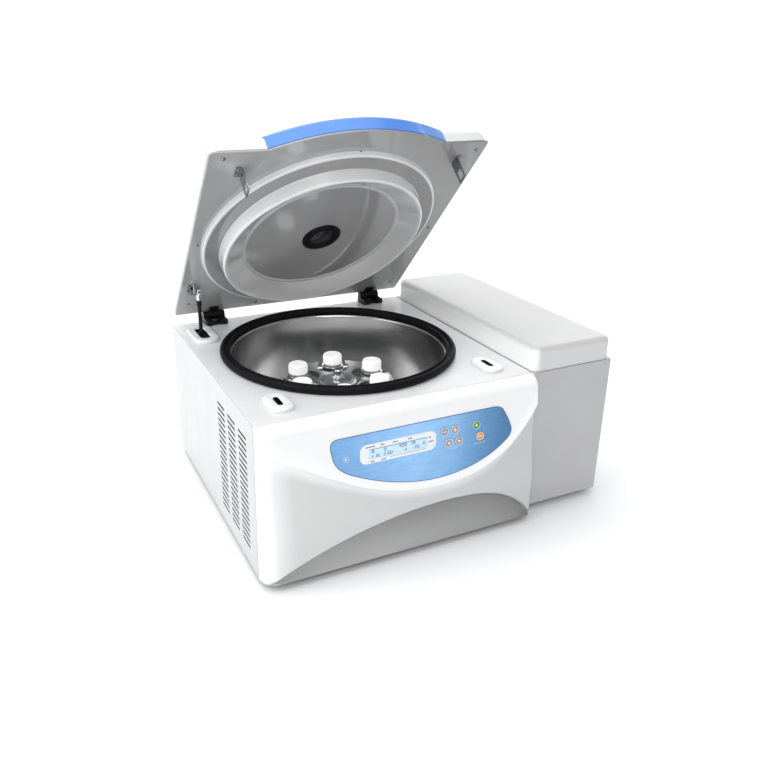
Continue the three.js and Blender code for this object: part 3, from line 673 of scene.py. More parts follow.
def lid_moulding_painted_light():
    """Glossy grey moulding with painted highlights on its rims and wall, and painted shade darker towards the
    upper right.
    """
    look = Look("lid_grey")
    from_centre = look.space(MILLIMETRES, LID @ Vector((CHAMBER.x, -RING_T, 0)))
    axis = (LID.to_3x3() @ Vector((0, 0, 1))).normalized()
    cross = look.node("VectorMath", [(0, from_centre), (1, tuple(axis))], operation="CROSS_PRODUCT")
    first, last = LID_PAINTED_LIGHT_BANDS[0][0], LID_PAINTED_LIGHT_BANDS[-1][0]
    place = look.share(look.length(cross.outputs["Vector"]), first, last)
    painted_light_bands = look.node("ValToRGB", [("Fac", place)])
    ramp = painted_light_bands.color_ramp
    while len(ramp.elements) < len(LID_PAINTED_LIGHT_BANDS):
        ramp.elements.new(0.5)
    for element, (radius, shade) in zip(ramp.elements, LID_PAINTED_LIGHT_BANDS):
        element.position = (radius - first) / (last - first)
        element.color = (shade, shade, shade * 1.01, 1)
    x, _, z = look.split(from_centre)
    # Painted shade: darker towards the upper right.
    corner = look.spread(look.maths("MULTIPLY_ADD", z, 2.0, x), 0, 0.75, 340, 600)
    space = look.space()
    tint = look.clouded(space, 0.05, look.blend(corner, painted_light_bands.outputs["Color"], 0.1), 0.2)
    gloss = look.spread(look.noise(space, 38, 5, 0.6), 0.07, 0.13)
    relief = look.bump(look.noise(space, 24), 0.1)
    return look.finish(tint, gloss, relief, Coat_Weight=1.0, Coat_Roughness=0.06)


def paint(name, colour, roughness, coat):
    return surface(name, colour, roughness, coat=coat, grain=(1500, 0.02), ripple=(220, 0.05))


def glossy(name, colour, coat):
    return surface(name, colour, 0.24, coat=coat, smudge=0.02, grain=(2400, 0.006), ripple=(30, 0.05))


def ink(name, colour, roughness):
    return surface(name, colour, roughness, grain=(3000, 0.01))


def key_plastic(name, colour, roughness):
    return surface(name, colour, roughness, mottle=0.06, grain=(2200, 0.02))


SHELL_PAINT = paint("shell_paint", (0.56, 0.565, 0.57), 0.36, 0.25)
# Painted shade: the housing's paint is a darker copy of the shell's white, standing in for the shade on its
# front.
SHADED_HOUSING_PAINT = paint("housing_paint_shaded", (0.49, 0.49, 0.5), 0.4, 0.15)
DECK_PAINT = paint("deck_paint", (0.72, 0.725, 0.73), 0.34, 0.2)
WHITE_GLOSS = glossy("white_gloss", (0.84, 0.845, 0.85), 0.5)
LID_WHITE = glossy("lid_white", (0.68, 0.685, 0.69), 0.4)
FASCIA_PAINTED_SHADE = fascia_painted_shade()
CAP_PAINTED_LIGHT = cap_painted_light()
LID_GREY = lid_moulding_painted_light()
GRIP_BLUE = surface("grip_blue", (0.06, 0.22, 0.68), 0.32, coat=0.2, smudge=0.02, grain=(2400, 0.015),
                    ripple=(40, 0.04))
OVERLAY = overlay_film()
BORDER_BLUE = ink("border_blue", (0.05, 0.14, 0.36), 0.4)
PRINT_WHITE = ink("print_white", (0.86, 0.88, 0.9), 0.35)
PRINT_LIGHT = ink("print_light", (0.62, 0.74, 0.9), 0.35)
PRINT_DARK = ink("print_dark", (0.06, 0.07, 0.1), 0.45)
LCD = surface("lcd_glass", (0.58, 0.82, 0.98), 0.12, coat=1.0, mottle=0.04, grain=(3000, 0.004))
LCD_DIGIT = ink("lcd_digit", (0.06, 0.13, 0.33), 0.3)
KEY_GREY = key_plastic("key_grey", (0.33, 0.31, 0.34), 0.42)
KEY_GREEN = key_plastic("key_green", (0.04, 0.27, 0.01), 0.38)
KEY_ORANGE = key_plastic("key_orange", (0.85, 0.33, 0.02), 0.38)
KEY_RIM = surface("key_rim", (0.72, 0.72, 0.74), 0.3, metallic=0.2, grain=(2200, 0.01))
STAINLESS = turned_metal("brushed_stainless", (0.64, 0.64, 0.64), 0.22, 900, Anisotropic=0.5)
MACHINED = turned_metal("machined_alloy", (0.62, 0.625, 0.63), 0.28, 1400)
CHROME = surface("chrome", (0.74, 0.745, 0.75), 0.12, metallic=1.0, smudge=0.06, grain=(1400, 0.01))
STRIKER_STEEL = surface("striker_steel", (0.3, 0.3, 0.31), 0.24, metallic=1.0, smudge=0.06,
                        grain=(1400, 0.01))
ZINC = surface("zinc_plate", (0.5, 0.505, 0.5), 0.36, metallic=1.0, mottle=0.12, smudge=0.12,
               grain=(700, 0.03))
RUBBER = surface("black_rubber", (0.007, 0.007, 0.008), 0.55, mottle=0.25, smudge=0.1, grain=(1200, 0.05),
                 ripple=(90, 0.08), Specular_IOR_Level=0.1)
BLACK_PLASTIC = surface("black_plastic", (0.007, 0.007, 0.008), 0.42, mottle=0.2, smudge=0.08,
                        grain=(2200, 0.05), Specular_IOR_Level=0.25)
BLACK_PAINT = surface("black_paint", (0.008, 0.008, 0.009), 0.5, mottle=0.2, smudge=0.08, grain=(1500, 0.03),
                      ripple=(300, 0.04), Specular_IOR_Level=0.2)
FILTER_FOAM = surface("filter_foam", (0.03, 0.032, 0.036), 0.9, mottle=0.5, grain=(420, 1.2))
PORT_GLASS = surface("port_glass", (0.02, 0.02, 0.022), 0.06, coat=0.2, mottle=0.1, smudge=0.03,
                     grain=(3000, 0.002))
# The caps' emission is painted light: they glow faintly though they are no lamp.
CAP_WHITE_PAINTED_GLOW = surface("tube_cap", (0.95, 0.95, 0.95), 0.42, grain=(1800, 0.03), ripple=(200, 0.02),
                    Subsurface_Weight=0.15, Subsurface_Radius=(0.004, 0.004, 0.004),
                    Emission_Color=(1, 1, 1, 1), Emission_Strength=0.3)
TUBE_CLEAR = surface("tube_clear", (0.86, 0.88, 0.88), 0.22, grain=(1800, 0.02), Transmission_Weight=0.75,
                     IOR=1.49)
FLOOR = surface("floor_pale", (0.9, 0.905, 0.915), 0.8, mottle=0.004, grain=(300, 0.05))


def piece(name, solid, place, material, body="housing", stands_for=(), sharp=32):
    """Puts a solid in the row frame as a named piece that rides on a body and may replace CAD nodes."""
    solid.name = name
    solid.transform(place)
    thing = bpy.data.objects.new(name, solid)
    link(thing)
    solid.shade_smooth()
    solid.set_sharp_from_angle(angle=math.radians(sharp))
    modifier = thing.modifiers.new("flat faces stay flat", "WEIGHTED_NORMAL")
    modifier.keep_sharp = True
    solid.materials.clear()
    solid.materials.append(material)
    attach(thing, body)
    if stands_for:
        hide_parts(*stands_for)
    return thing


DOWN = turn(180, "X")
BACK = turn(-90, "X")
RIGHT = turn(90, "Y")


def screw(x, y, z, facing=Matrix(), radius=3.2, height=1.8):
    """Cross-recessed pan head whose seat is at a point, facing up unless turned."""
    half, deep = 0.35, 0.7
    head = turned([
        (0, -0.4), (radius, -0.4), (radius, height * 0.3, 0.6), (radius * 0.62, height, 0.8), (0, height),
    ], 24, rounding=3)
    cross = [
        block(-radius * 0.5, -half, height - deep, radius * 0.5, half, height + 1),
        block(-half, -radius * 0.5, height - deep, half, radius * 0.5, height + 1),
    ]
    return moved(combine(head, cross), at(x, y, z) @ facing)


# -------------------- casing


def smooth(t):
    s = min(1.0, max(0.0, t))
    return s * s * (3 - 2 * s)


def smile_height(x):
    """Height over the casing's lower edge of the soft edge under the raised upper face."""
    u = (x - SMILE_X) / SMILE_X
    return sum(number * u**power for power, number in enumerate(reversed(SMILE)))


def arch_height(x):
    """Height of the arched recess along the fascia's foot."""
    d = x - ARCH_X
    return ARCH_TOP - ARCH_SQUARE * d**2 - (ARCH_FOURTH * d**4 if d > 0 else 0)


def round_in(distance, radius):
    """Share of the full depth that a quarter round has reached at a distance from its edge."""
    t = min(1.0, max(0.0, distance / radius))
    return math.sqrt(1 - (1 - t) ** 2)


def fascia_front(x, height):
    """Y of the fascia's outer surface."""
    upper = FASCIA_FACE - FASCIA_TILT * (FASCIA_CROWN - min(height, FASCIA_CROWN))
    lower = LOWER_FACE - LOWER_SWELL * smooth((150 - height) / 90)
    above = height - smile_height(x)
    raised = smooth((above + 5) / 8)
    lip = LIP * math.exp(-((above - 4) / 14) ** 2) * raised
    arch = max(1.0, arch_height(x))
    depth = max(0.0, arch - height)
    recess = RECESS * (1 - math.exp(-depth / 5)) * (height / arch)
    face = lower + (upper - lower) * raised - lip + recess
    left = round_in(x, FASCIA_CORNER)
    right = round_in(BODY_WIDTH - x, FASCIA_END_ROUND)
    top = round_in(BODY_HEIGHT - height, FASCIA_TOP_ROUND)
    return 2 - (2 - face) * left * right * top


def crowded(length, low_round, high_round, step, round_steps=10):
    """Positions along a length that crowd into its rounded ends."""
    ends = [1 - math.cos(math.pi / 2 * k / round_steps) for k in range(round_steps + 1)]
    made = [low_round * e for e in ends[:-1]] if low_round else []
    start, stop = low_round, length - high_round
    count = max(1, round((stop - start) / step))
    made += [start + (stop - start) * k / count for k in range(count)]
    return made + [length - high_round * e for e in reversed(ends)]


def fascia_shell():
    xs = crowded(BODY_WIDTH, FASCIA_CORNER, FASCIA_END_ROUND, 2.5)
    zs = crowded(BODY_HEIGHT, 0, FASCIA_TOP_ROUND, 1.5)
    columns, rows = len(xs), len(zs)
    front = [(x, fascia_front(x, z), BODY_BOTTOM + z) for z in zs for x in xs]
    narrow = 1 - 2 * FASCIA_WALL / BODY_WIDTH
    back = [(FASCIA_WALL + x * narrow, min(y + FASCIA_WALL, 3), z) for x, y, z in front]
    behind = len(front)
    faces = []
    for j in range(rows - 1):
        for i in range(columns - 1):
            a = j * columns + i
            quad = (a, a + 1, a + 1 + columns, a + columns)
            faces += [quad, tuple(behind + v for v in reversed(quad))]
    rim = list(range(columns))
    rim += [j * columns + columns - 1 for j in range(1, rows)]
    rim += [(rows - 1) * columns + i for i in range(columns - 2, -1, -1)]
    rim += [j * columns for j in range(rows - 2, 0, -1)]
    for a, b in zip(rim, rim[1:] + rim[:1]):
        faces.append((a, behind + a, behind + b, b))
    return to_mesh(front + back, faces)


def overlay_outline(grow=0.0):
    """Membrane in the panel's plane: straight top, a nose on the right and a belly below."""
    points = [(-142, 43), (118, 43)]
    for steps, *controls in (
        (8, (132, 43), (138.5, 37)),
        (10, (150, 20), (156.5, 2)),
        (8, (159, -9), (147, -18.2)),
        (24, (112, -46), (66, -56), (24, -56)),
        (24, (-30, -56), (-84, -38), (-124, -17.5)),
        (10, (-146, -6), (-151, 10)),
        (1, (-155, 28)),
        (10, (-157, 43), (-142, 43)),
    ):
        points += bezier([points[-1], *controls], steps)
    return offset_loop(tidy_loop(points)[::-1], -grow)


def add_fascia():
    to_panel = TO_MACHINE @ PANEL
    pocket = moved(plate(overlay_outline(0.35), -1.4, 8), to_panel)
    stems = [moved(rod(KEY_RADIUS + 0.7, (u, v, -20), (u, v, 8)), to_panel) for u, v in KEYS.values()]
    window = moved(block(-96, -0.5, -20, 4, 17.9, 8), to_panel)
    shell = combine(fascia_shell(), [pocket, window, *stems])
    piece("fascia", shell, MACHINE, FASCIA_PAINTED_SHADE, stands_for=["front_fascia"], sharp=40)


def add_left_side():
    across = MACHINE @ UPRIGHT
    slots = [
        rounded_rect(56 + 52.5 * i, 42 + 9.53 * j, 38, 4.5, 1.6, 3) for i in range(3) for j in range(20)
    ]
    y0, y1 = FASCIA_WALL + 1.6, BODY_DEPTH - 2.3
    side = rounded_rect((y0 + y1) / 2, (BODY_BOTTOM + BODY_TOP) / 2, y1 - y0, BODY_HEIGHT, 1.6, 4)
    piece("left_side", plate(side, 0, 0.9, slots, low=0.4, steps=3), across, SHELL_PAINT,
          stands_for=["left_side_panel"])
    liner = plate(rounded_rect(110, 132, 170, 214, 4, 3), 1.3, 6.5, low=0.3)
    piece("vent_filter", liner, across, FILTER_FOAM)
    # Painted shade: a black strip behind the front seam's gap, so the seam reads as a dark line.
    seam = block(3.4, -1, BODY_BOTTOM + 2, 5.4, 12, BODY_TOP - 3, 0.4)
    piece("seam_shade_strip", seam, MACHINE, BLACK_PLASTIC)


def add_deck():
    holes = [circle(CHAMBER.x, CHAMBER.y, 184.5, 128)]
    holes += [rounded_rect(x, LATCH_Y, 23, 41, 2) for x in LATCH_X.values()]
    holes += [rounded_rect(*STRUT_SLOT, 18, 62, 6)]
    middle = ((1.1 + BODY_WIDTH) / 2, (3.5 + BODY_DEPTH) / 2)
    top = rounded_rect(*middle, BODY_WIDTH - 1.3, BODY_DEPTH - 5.8, 2.2, 4)
    piece("deck_sheet", plate(top, BODY_TOP - 2.4, BODY_TOP, holes, high=1.5, steps=4), MACHINE, DECK_PAINT,
          stands_for=["deck"])


def add_compressor_housing():
    middle = ((BODY_WIDTH + GAP + TOTAL_WIDTH) / 2, BODY_DEPTH / 2)
    width = TOTAL_WIDTH - BODY_WIDTH - GAP
    wall = rounded_rect(*middle, width, BODY_DEPTH, 4, 5)
    room = rounded_rect(*middle, width - 4, BODY_DEPTH - 4, 2.2, 4)
    opening = rounded_rect(*middle, width - 26, BODY_DEPTH - 40, 6)
    walls = plate(wall, BODY_BOTTOM, BODY_TOP, [room], high=1.2, low=0.8, steps=3)
    back, pitch = BODY_DEPTH, 11
    louvres = [block(496, back - 9, z, 604, back + 9, z + 5, 1.5) for z in range(62, 62 + 11 * pitch, pitch)]
    lid_frame = plate(offset_loop(room, 0.3), BODY_TOP - 2.4, BODY_TOP - 0.4, [opening], high=0.4)
    piece("compressor_housing", join(combine(walls, louvres), lid_frame), MACHINE, SHADED_HOUSING_PAINT,
          stands_for=["side_housing"])
    cap = rounded_rect(549, 230.75, 156, 456.5, 13, 10)
    cap = plate(cap, BODY_TOP + GAP, BODY_TOP + 40, high=10, steps=10)
    piece("compressor_cap", cap, MACHINE, CAP_PAINTED_LIGHT, stands_for=["side_cap"], sharp=50)


def add_rear_wall():
    rear = MACHINE @ Matrix(((1, 0, 0, 0), (0, 0, -1, BODY_DEPTH), (0, 1, 0, 0), (0, 0, 0, 1)))
    vents = [rounded_rect(150 + 160 * i, 142 + 11 * j, 90, 5, 2.2, 4) for i in range(2) for j in range(9)]
    inlet = rounded_rect(100, 56, 80, 32, 1.5, 3)
    outer = rounded_rect(BODY_WIDTH / 2, (BODY_BOTTOM + BODY_TOP) / 2, BODY_WIDTH - 0.2, BODY_HEIGHT, 1, 2)
    wall = plate(outer, 0, 2, [*vents, inlet], low=0.7, steps=3)
    piece("rear_wall", wall, rear, SHELL_PAINT, stands_for=["rear_panel"])


def add_screws():
    """Fixing screws of the casing and of the lid's inner panel."""
    lid_spots = [(27, 430), (238, 432), (449, 425), (17, 224), (452, 213), (25, 36), (158, 14), (442, 28)]
    heads = [screw(x, -t, PANEL_Z, DOWN) for x, t in lid_spots]
    piece("lid_screws", join(*heads), LID, STRIKER_STEEL, "lid")
    heads = [screw(x, BODY_DEPTH, z, BACK) for x in (20, 234, 448) for z in (28, 244)]
    heads += [screw(x, BODY_DEPTH, z, BACK) for x in (484, 614) for z in (32, 244)]
    heads += [screw(TOTAL_WIDTH, y, 28, RIGHT) for y in (30, 234, 440)]
    piece("casing_screws", join(*heads), MACHINE, CHROME)


# -------------------- chamber and rotor


def add_chamber():
    top = BODY_TOP + 13
    base = BODY_TOP + GAP
    gasket = turned([
        (183.2, base + 2.3, 0.8), (191.8, base + 2.3), (191.8, base), (196.8, base, 0.8),
        (200.5, base + 4.6, 3), (200.4, top - 4, 4), (197.5, top, 3.5), (193.6, top - 0.2, 2.5),
        (191.4, top - 4.4, 1.4), (188.4, top - 4.4, 1.4), (187, top - 0.8, 1.6), (184.4, top - 1, 1.8),
        (183, top - 5, 2),
    ], 160, closed=True, rounding=5)
    piece("lid_gasket", gasket, BOWL, RUBBER, stands_for=["chamber_gasket"], sharp=60)

    r = 180
    floor = 84
    bowl = turned([
        (191, base), (191, base + 1.6, 0.6), (r, base + 1.6, 4), (r - 2, floor + 36, 26),
        (r - 12, floor + 12, 16), (r - 34, floor, 20), (40, floor, 6), (32, floor + 4, 6),
        (29, floor + 16, 2), (23, floor + 16), (23, floor + 14.4), (27.5, floor + 14.4, 1),
        (30.5, floor + 2.4, 4), (40, floor - 1.6, 5),
        (r - 33, floor - 1.6, 20), (r - 10.8, floor + 11, 16), (r - 0.4, floor + 36, 26), (r + 1.6, base, 2),
    ], 160, closed=True, rounding=8)
    piece("chamber_bowl", bowl, BOWL, STAINLESS, stands_for=["bowl"], sharp=50)


def star_outline():
    """Rotor head in plan: six arms between open keyhole slots."""
    reach, hole_at, hole, mouth = 98, 66, 28, 24
    half = math.degrees(math.asin(mouth / hole))
    corner = math.degrees(math.asin(mouth / reach))
    edge = math.sqrt(reach**2 - mouth**2)
    slot = [(edge, -mouth), *arc(hole_at, 0, hole, -half, -360 + half, 28), (edge, mouth)]
    slot += arc(0, 0, reach, corner, 60 - corner, 8)[1:-1]
    return [point for i in range(6) for point in turned_in_plane(slot, 60 * i)]


def add_rotor():
    star = plate(star_outline(), -7, 7, low=2.2, high=2.2, steps=3)
    hub = turned([
        (9.4, -71), (20, -72, 1.5), (22, -68, 1), (24, -20, 8), (33, -6, 4), (33, 8, 5), (24, 11.4, 2),
        (12.6, 11.4, 0.6), (12.6, 9.6), (9.4, 9.6),
    ], 64, closed=True, rounding=5)
    piece("rotor_star", combine(star, [hub], "UNION"), HEAD, MACHINED, "rotor", ["rotor_head"])

    nut = 11.4 + GAP
    parts = [
        plate(circle(0, 0, 11.5, 6), nut, nut + 6, low=0.6, high=1.2),
        turned([(0, nut + 5), (8, nut + 5), (8, nut + 15, 2), (6, nut + 17, 1.5), (0, nut + 17)], 40),
    ]
    piece("rotor_locknut", join(*parts), HEAD, CHROME, "rotor", ["rotor_nut"])

    for i in range(6):
        place = HEAD @ turn(60 * i, "Z") @ at(PIVOT_RADIUS, 0, 0)
        body = f"swing_{i + 1}"
        cup = turned([
            (0, -88), (11, -88, 3), (17.2, -79, 4), (17.2, -9, 1), (18.2, -8, 1), (19.5, -6, 1.2),
            (19.5, 6.4, 1.4), (18.6, 7, 0.6), (15.5, 7, 0.8), (15.4, -68, 2), (5, -85.5, 2), (0, -85.5),
        ], 64, rounding=3)
        groove = lathe([(18.9, -1.2), (22, -1.2), (22, 1.2), (18.9, 1.2)], 64)
        pins = [rod(3.5, (0, s * 16.6, 0), (0, s * 28.4, 0), 0.6) for s in (-1, 1)]
        bucket = join(combine(cup, [groove]), *pins)
        piece(f"bucket_cup_{i + 1}", bucket, place, CHROME, body, [f"bucket_{i + 1}"])
        wall = turned([
            (0, -84), (3.5, -84, 1), (14.2, -69, 3), (14.8, 10), (14.8, 20), (13.6, 20), (13.6, 10),
            (13, -68, 2), (2.5, -82, 1), (0, -82),
        ], 48, rounding=3)
        collar = turned([(14.8, 7.9), (16.4, 7.9, 0.5), (16.4, 9.7, 0.5), (14.8, 9.7)], 48, closed=True)
        piece(f"tube_body_{i + 1}", join(wall, collar), place, TUBE_CLEAR, body)
        piece(f"tube_cap_{i + 1}", screw_cap(), place, CAP_WHITE_PAINTED_GLOW, body, [f"tube_{i + 1}"], sharp=25)


def screw_cap(ribs=60, radius=16.6, base=10.6, top=27):
    """Ribbed screw cap with a smooth top edge, from rings of (radius, height, depth of the ribs)."""
    rib = 0.45
    rows = [
        (radius - 1.6, base, 0), (radius - 0.3, base, 0), (radius, base + 0.4, 0), (radius, base + 1, rib),
        (radius, top - 3.2, rib), (radius, top - 2.4, 0), (radius - 0.5, top - 0.9, 0),
        (radius - 1.8, top, 0), (radius - 3.2, top, 0), (radius - 3.6, top - 0.3, 0),
    ]
    count = ribs * 4
    verts, faces = [], []
    for r, z, depth in rows:
        for k in range(count):
            swell = depth * (0.5 - 0.5 * math.cos(math.pi * (k % 4) / 2))
            a = 2 * math.pi * k / count
            verts.append(((r + swell) * math.cos(a), (r + swell) * math.sin(a), z))
    for start in range(0, len(verts) - count, count):
        for k in range(count):
            n = (k + 1) % count
            faces.append((start + k, start + n, start + count + n, start + count + k))
    faces.append(tuple(range(count)))
    faces.append(tuple(range(len(verts) - count, len(verts))))
    return to_mesh(verts, faces)


# -------------------- lid, drawn closed


BULGE_RADIUS = (BULGE_HALF**2 + BULGE_SAGITTA**2) / (2 * BULGE_SAGITTA)
BULGE_AXIS = LID_LENGTH + BULGE_SAGITTA - BULGE_RADIUS


def lid_outline(inset, corner):
    """Lid in plan: a rectangle with round corners and a bulge at its front."""
    radius = BULGE_RADIUS - inset
    centre_y = BULGE_AXIS
    front = LID_LENGTH - inset
    angle = math.degrees(math.asin(math.sqrt(radius**2 - (front - centre_y) ** 2) / radius))
    left, right, back = LID_LEFT + inset, LID_RIGHT - inset, 2 - inset
    points = arc(right - corner, back - corner, corner, 0, 90, 8)
    points += arc(left + corner, back - corner, corner, 90, 180, 8)
    points += arc(left + corner, -front + corner, corner, 180, 270, 8)
    points += arc(BULGE_CENTRE, -centre_y, radius, 270 - angle, 270 + angle, 48)
    points += arc(right - corner, -front + corner, corner, 270, 360, 8)
    return points


def grip_band(margin):
    """Block round the grip, which follows the bulge's edge at the grip's depth."""
    beyond = LID_LENGTH + 4 * BULGE_SAGITTA
    left, right = BULGE_CENTRE - BULGE_HALF - margin, BULGE_CENTRE + BULGE_HALF + margin
    y = -(BULGE_AXIS + math.sqrt(BULGE_RADIUS**2 - BULGE_HALF**2)) + GRIP_DEPTH + margin
    peak = -(LID_LENGTH + BULGE_SAGITTA) + GRIP_DEPTH + margin
    points = [(left, y), *bezier([(left, y), (BULGE_CENTRE, 2 * peak - y), (right, y)], 32)]
    points += [(right, -beyond), (left, -beyond)]
    return plate(points, PANEL_Z - 5, LID_TOP + 5)


def lid_body(edge):
    """The lid's outer form above its inner panel, with its upper edge rounded."""
    return plate(lid_outline(0, edge + 2), PANEL_Z + 2.8, LID_TOP, high=edge, low=0.8, steps=8)


LID_CENTRE = at(CHAMBER.x, -RING_T)
RING_DEPTH = 9.3


def add_lid():
    port = moved(rod(30.8, (0, 0, 0), (0, 0, LID_TOP + 9), steps=64), LID_CENTRE)
    cover = combine(lid_body(14), [grip_band(GAP), port])
    piece("lid_cover", cover, LID, LID_WHITE, "lid", ["lid_shell"], 40)
    grip = combine(lid_body(8), [grip_band(0)], "INTERSECT")
    piece("grip", grip, LID, GRIP_BLUE, "lid", ["lid_grip"], 40)

    z = PANEL_Z
    hole = circle(CHAMBER.x, -RING_T, 203.5, 160)
    sheet = plate(lid_outline(1, 6), z, z + 2.4, [hole], low=1.0, steps=3)
    ring = turned([
        (33, z - RING_DEPTH), (132.5, z - RING_DEPTH, 1), (134, z - 10.6, 0.8), (136, z - 10.9, 1.2),
        (138.5, z - 10.4, 4), (169, z - 29.2, 4), (172.5, z - 31, 2.6), (175.4, z - 28.5, 3),
        (176.8, z - 8.5, 2.4), (201.5, z - 8.5, 2), (205.4, z - 8.2, 3), (206, z, 0.8), (206, z + 2.2),
        (202, z + 2.2, 1), (200, z - 6, 2), (174, z - 6, 2), (171, z - 26.5, 3), (137, z - 7, 3),
        (33, z - 6.8),
    ], 192, closed=True)
    panel = join(sheet, moved(ring, LID_CENTRE))
    piece("lid_inner", panel, LID, LID_GREY, "lid", ["lid_panel"], 60)


def add_sight_port():
    place = LID @ LID_CENTRE
    low, top = PANEL_Z - RING_DEPTH - GAP, LID_TOP
    rim = turned([
        (19.5, low + 2), (19.5, low - 0.4, 0.8), (22, low - 3.2, 1.2), (30, low - 3.4, 2), (34.2, low - 1, 1),
        (34.2, low + 0.1, 0.3), (32.4, low + 0.1), (30.2, low + 3), (30.2, top + 1.5, 1), (22, top + 1.5, 1),
        (22, top - 3), (24, top - 3), (24, low + 2),
    ], 72, closed=True, rounding=4)
    piece("port_grommet", rim, place, RUBBER, "lid", ["sight_port"], 50)
    dome = [(0, low - 1.6), (8, low - 1.3), (19.4, low - 0.4, 0.4), (19.4, low + 1.6), (0, low + 1.6)]
    panes = [
        turned(dome, 64),
        turned([(0, top - 2.6), (21.9, top - 2.6), (21.9, top, 0.6), (0, top)], 64),
    ]
    piece("port_panes", join(*panes), place, PORT_GLASS, "lid", sharp=50)


def add_strikers():
    y, seat, tab_face = -401.5, PANEL_Z - GAP, PANEL_Z - 2.1
    for side, x in LATCH_X.items():
        outward = -1 if side == "left" else 1
        slot = rounded_rect(y, seat - 29.5, 13, 15, 1.6, 4)
        loop = rounded_rect(y, seat - 20.5, 21, 40.6, 3.4, 5)
        loop = plate(loop, -1, 1, [slot], low=0.5, high=0.5, steps=2)
        loop = moved(loop, at(x, 0) @ UPRIGHT)
        x0, x1 = sorted((x, x + outward * 9))
        tab = block(x0, -412, tab_face, x1, -391, seat, 0.7)
        heads = [screw(x + outward * 5, y + s * 6, tab_face, DOWN, 2.4, 1.4) for s in (-1, 1)]
        piece(f"striker_loop_{side}", join(loop, tab, *heads), LID, STRIKER_STEEL, "lid", [f"striker_{side}"])


# -------------------- strut and deck fittings


def add_strut():
    """Gas strut's moving half, drawn from the eye at its end, with z along the strut."""
    eye = 5.5
    reach = (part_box("strut_rod")[1].z * 1000 - eye - STRUT_FOOT.z) / math.cos(STRUT_LEAN)
    end = STRUT @ at(0, 0, reach)
    piece("strut_shaft", rod(3.4, (0, 0, -190), (0, 0, -24), 0.5), end, BLACK_PAINT, "strut_upper")
    sleeve = turned([(0, -27), (4.6, -27, 0.8), (4.6, -18, 0.8), (3.2, -17, 0.5), (0, -17)], 40)
    piece("strut_sleeve", sleeve, end, BLACK_PLASTIC, "strut_upper")
    neck = [(0, -18), (3, -18), (3, -15.5), (4.4, -15, 0.8), (4.4, -6, 2), (3, -3), (0, -3)]
    fitting = [
        turned(neck, 40),
        rod(eye, (-3.6, 0, 0), (3.6, 0, 0), 1.4, 48),
        turned([(3, -12.4), (5.4, -12.4, 0.5), (5.4, -10.8, 0.5), (3, -10.8)], 40, closed=True),
    ]
    piece("strut_end_fitting", join(*fitting), end, CHROME, "strut_upper", ["strut_rod"])


def add_strut_mount():
    """Stud and bracket under the lid that the strut's eye turns on."""
    x, y, seat = 35, -90, PANEL_Z - GAP
    arm = plate([
        (y - 24, seat - 0.6), (y - 24, seat - 3.6), (y - 7, -5.6), (y + 6, -5.6), (y + 9, -1),
        (y + 9, seat - 0.6),
    ], -1.2, 1.2, low=0.4, high=0.4, steps=2)
    bracket = [moved(arm, at(x - 9.8, 0) @ UPRIGHT), rod(3, (x - 12.5, y, 0), (x - 4.3, y, 0), 0.5)]
    piece("strut_bracket", join(*bracket), LID, CHROME, "lid", ["strut_stud"])
    mount = [
        block(x - 19, y - 13, seat - 2.5, x - 5, y + 13, seat, 0.6),
        rod(5.4, (x - 14.5, y, 0), (x - 11, y, 0), 0.8, 6),
        rod(5.4, (x - 8.6, y, 0), (x - 6.4, y, 0), 0.5),
    ]
    mount += [screw(x - 15.5, y + s * 8, seat - 2.5, DOWN, 2.6, 1.6) for s in (-1, 1)]
    piece("strut_mount", join(*mount), LID, STRIKER_STEEL, "lid")


def add_strut_slot():
    ring = framed(STRUT_SLOT, (44, 92, 21.5, 16), (17, 57, 8, 10), BODY_TOP + GAP, BODY_TOP + 6.3,
                  high=3.2, steps=6)
    piece("strut_ring", ring, MACHINE, WHITE_GLOSS, stands_for=["strut_escutcheon"], sharp=50)
    liner = framed(STRUT_SLOT, (16.8, 56.8, 8, 10), (14, 54, 6.8, 10), BODY_TOP - 1, BODY_TOP + 4,
                   high=0.7, steps=3)
    piece("strut_slot_liner", liner, MACHINE, RUBBER, sharp=50)


def add_latches():
    base, top = BODY_TOP + GAP, BODY_TOP + 6.5
    bolt_z, bolt_half = 250, 4.9
    middle = (0, 0)
    for side, x in LATCH_X.items():
        place = MACHINE @ at(x, LATCH_Y)
        rim = framed(middle, (36, 62, 17, 14), (7, 27, 2, 4), base, top, high=3.4, steps=6)
        bead = framed(middle, (22, 46, 10.5, 12), (19, 43, 9, 12), top - 1, top + 0.5, high=0.5, steps=3)
        piece(f"latch_ring_{side}", join(rim, bead), place, WHITE_GLOSS, sharp=50)
        guide = block(-11, -20, 226, 11, 20, base + 0.5, 0.5)
        slot = block(-3.9, -14.9, 220, 3.9, 14.9, base + 9)
        x0, x1 = (0, 20) if side == "left" else (-20, 0)
        channel = block(x0, -bolt_half, bolt_z - bolt_half, x1, bolt_half, bolt_z + bolt_half)
        collar = framed(middle, (6.8, 26.8, 1.9, 4), (5.6, 25.6, 1.3, 4), base, top - 0.2)
        guide = join(combine(guide, [slot, channel]), collar)
        piece(f"latch_guide_{side}", guide, place, BLACK_PLASTIC, stands_for=[f"latch_housing_{side}"])


# -------------------- control panel

OVERLAY_TOP = 0.4
BEZEL_TOP = 0.75
LCD_TOP = 0.62
INK = 0.08
SEGMENTS = {
    "0": "abcdef", "1": "bc", "2": "abged", "3": "abgcd", "4": "fgbc", "5": "afgcd", "6": "afgedc",
    "8": "abcdefg", "9": "abcdfg", "-": "g",
}


def mark(u0, v0, u1, v1, base, thickness=INK):
    return block(u0, v0, base, u1, v1, base + thickness)


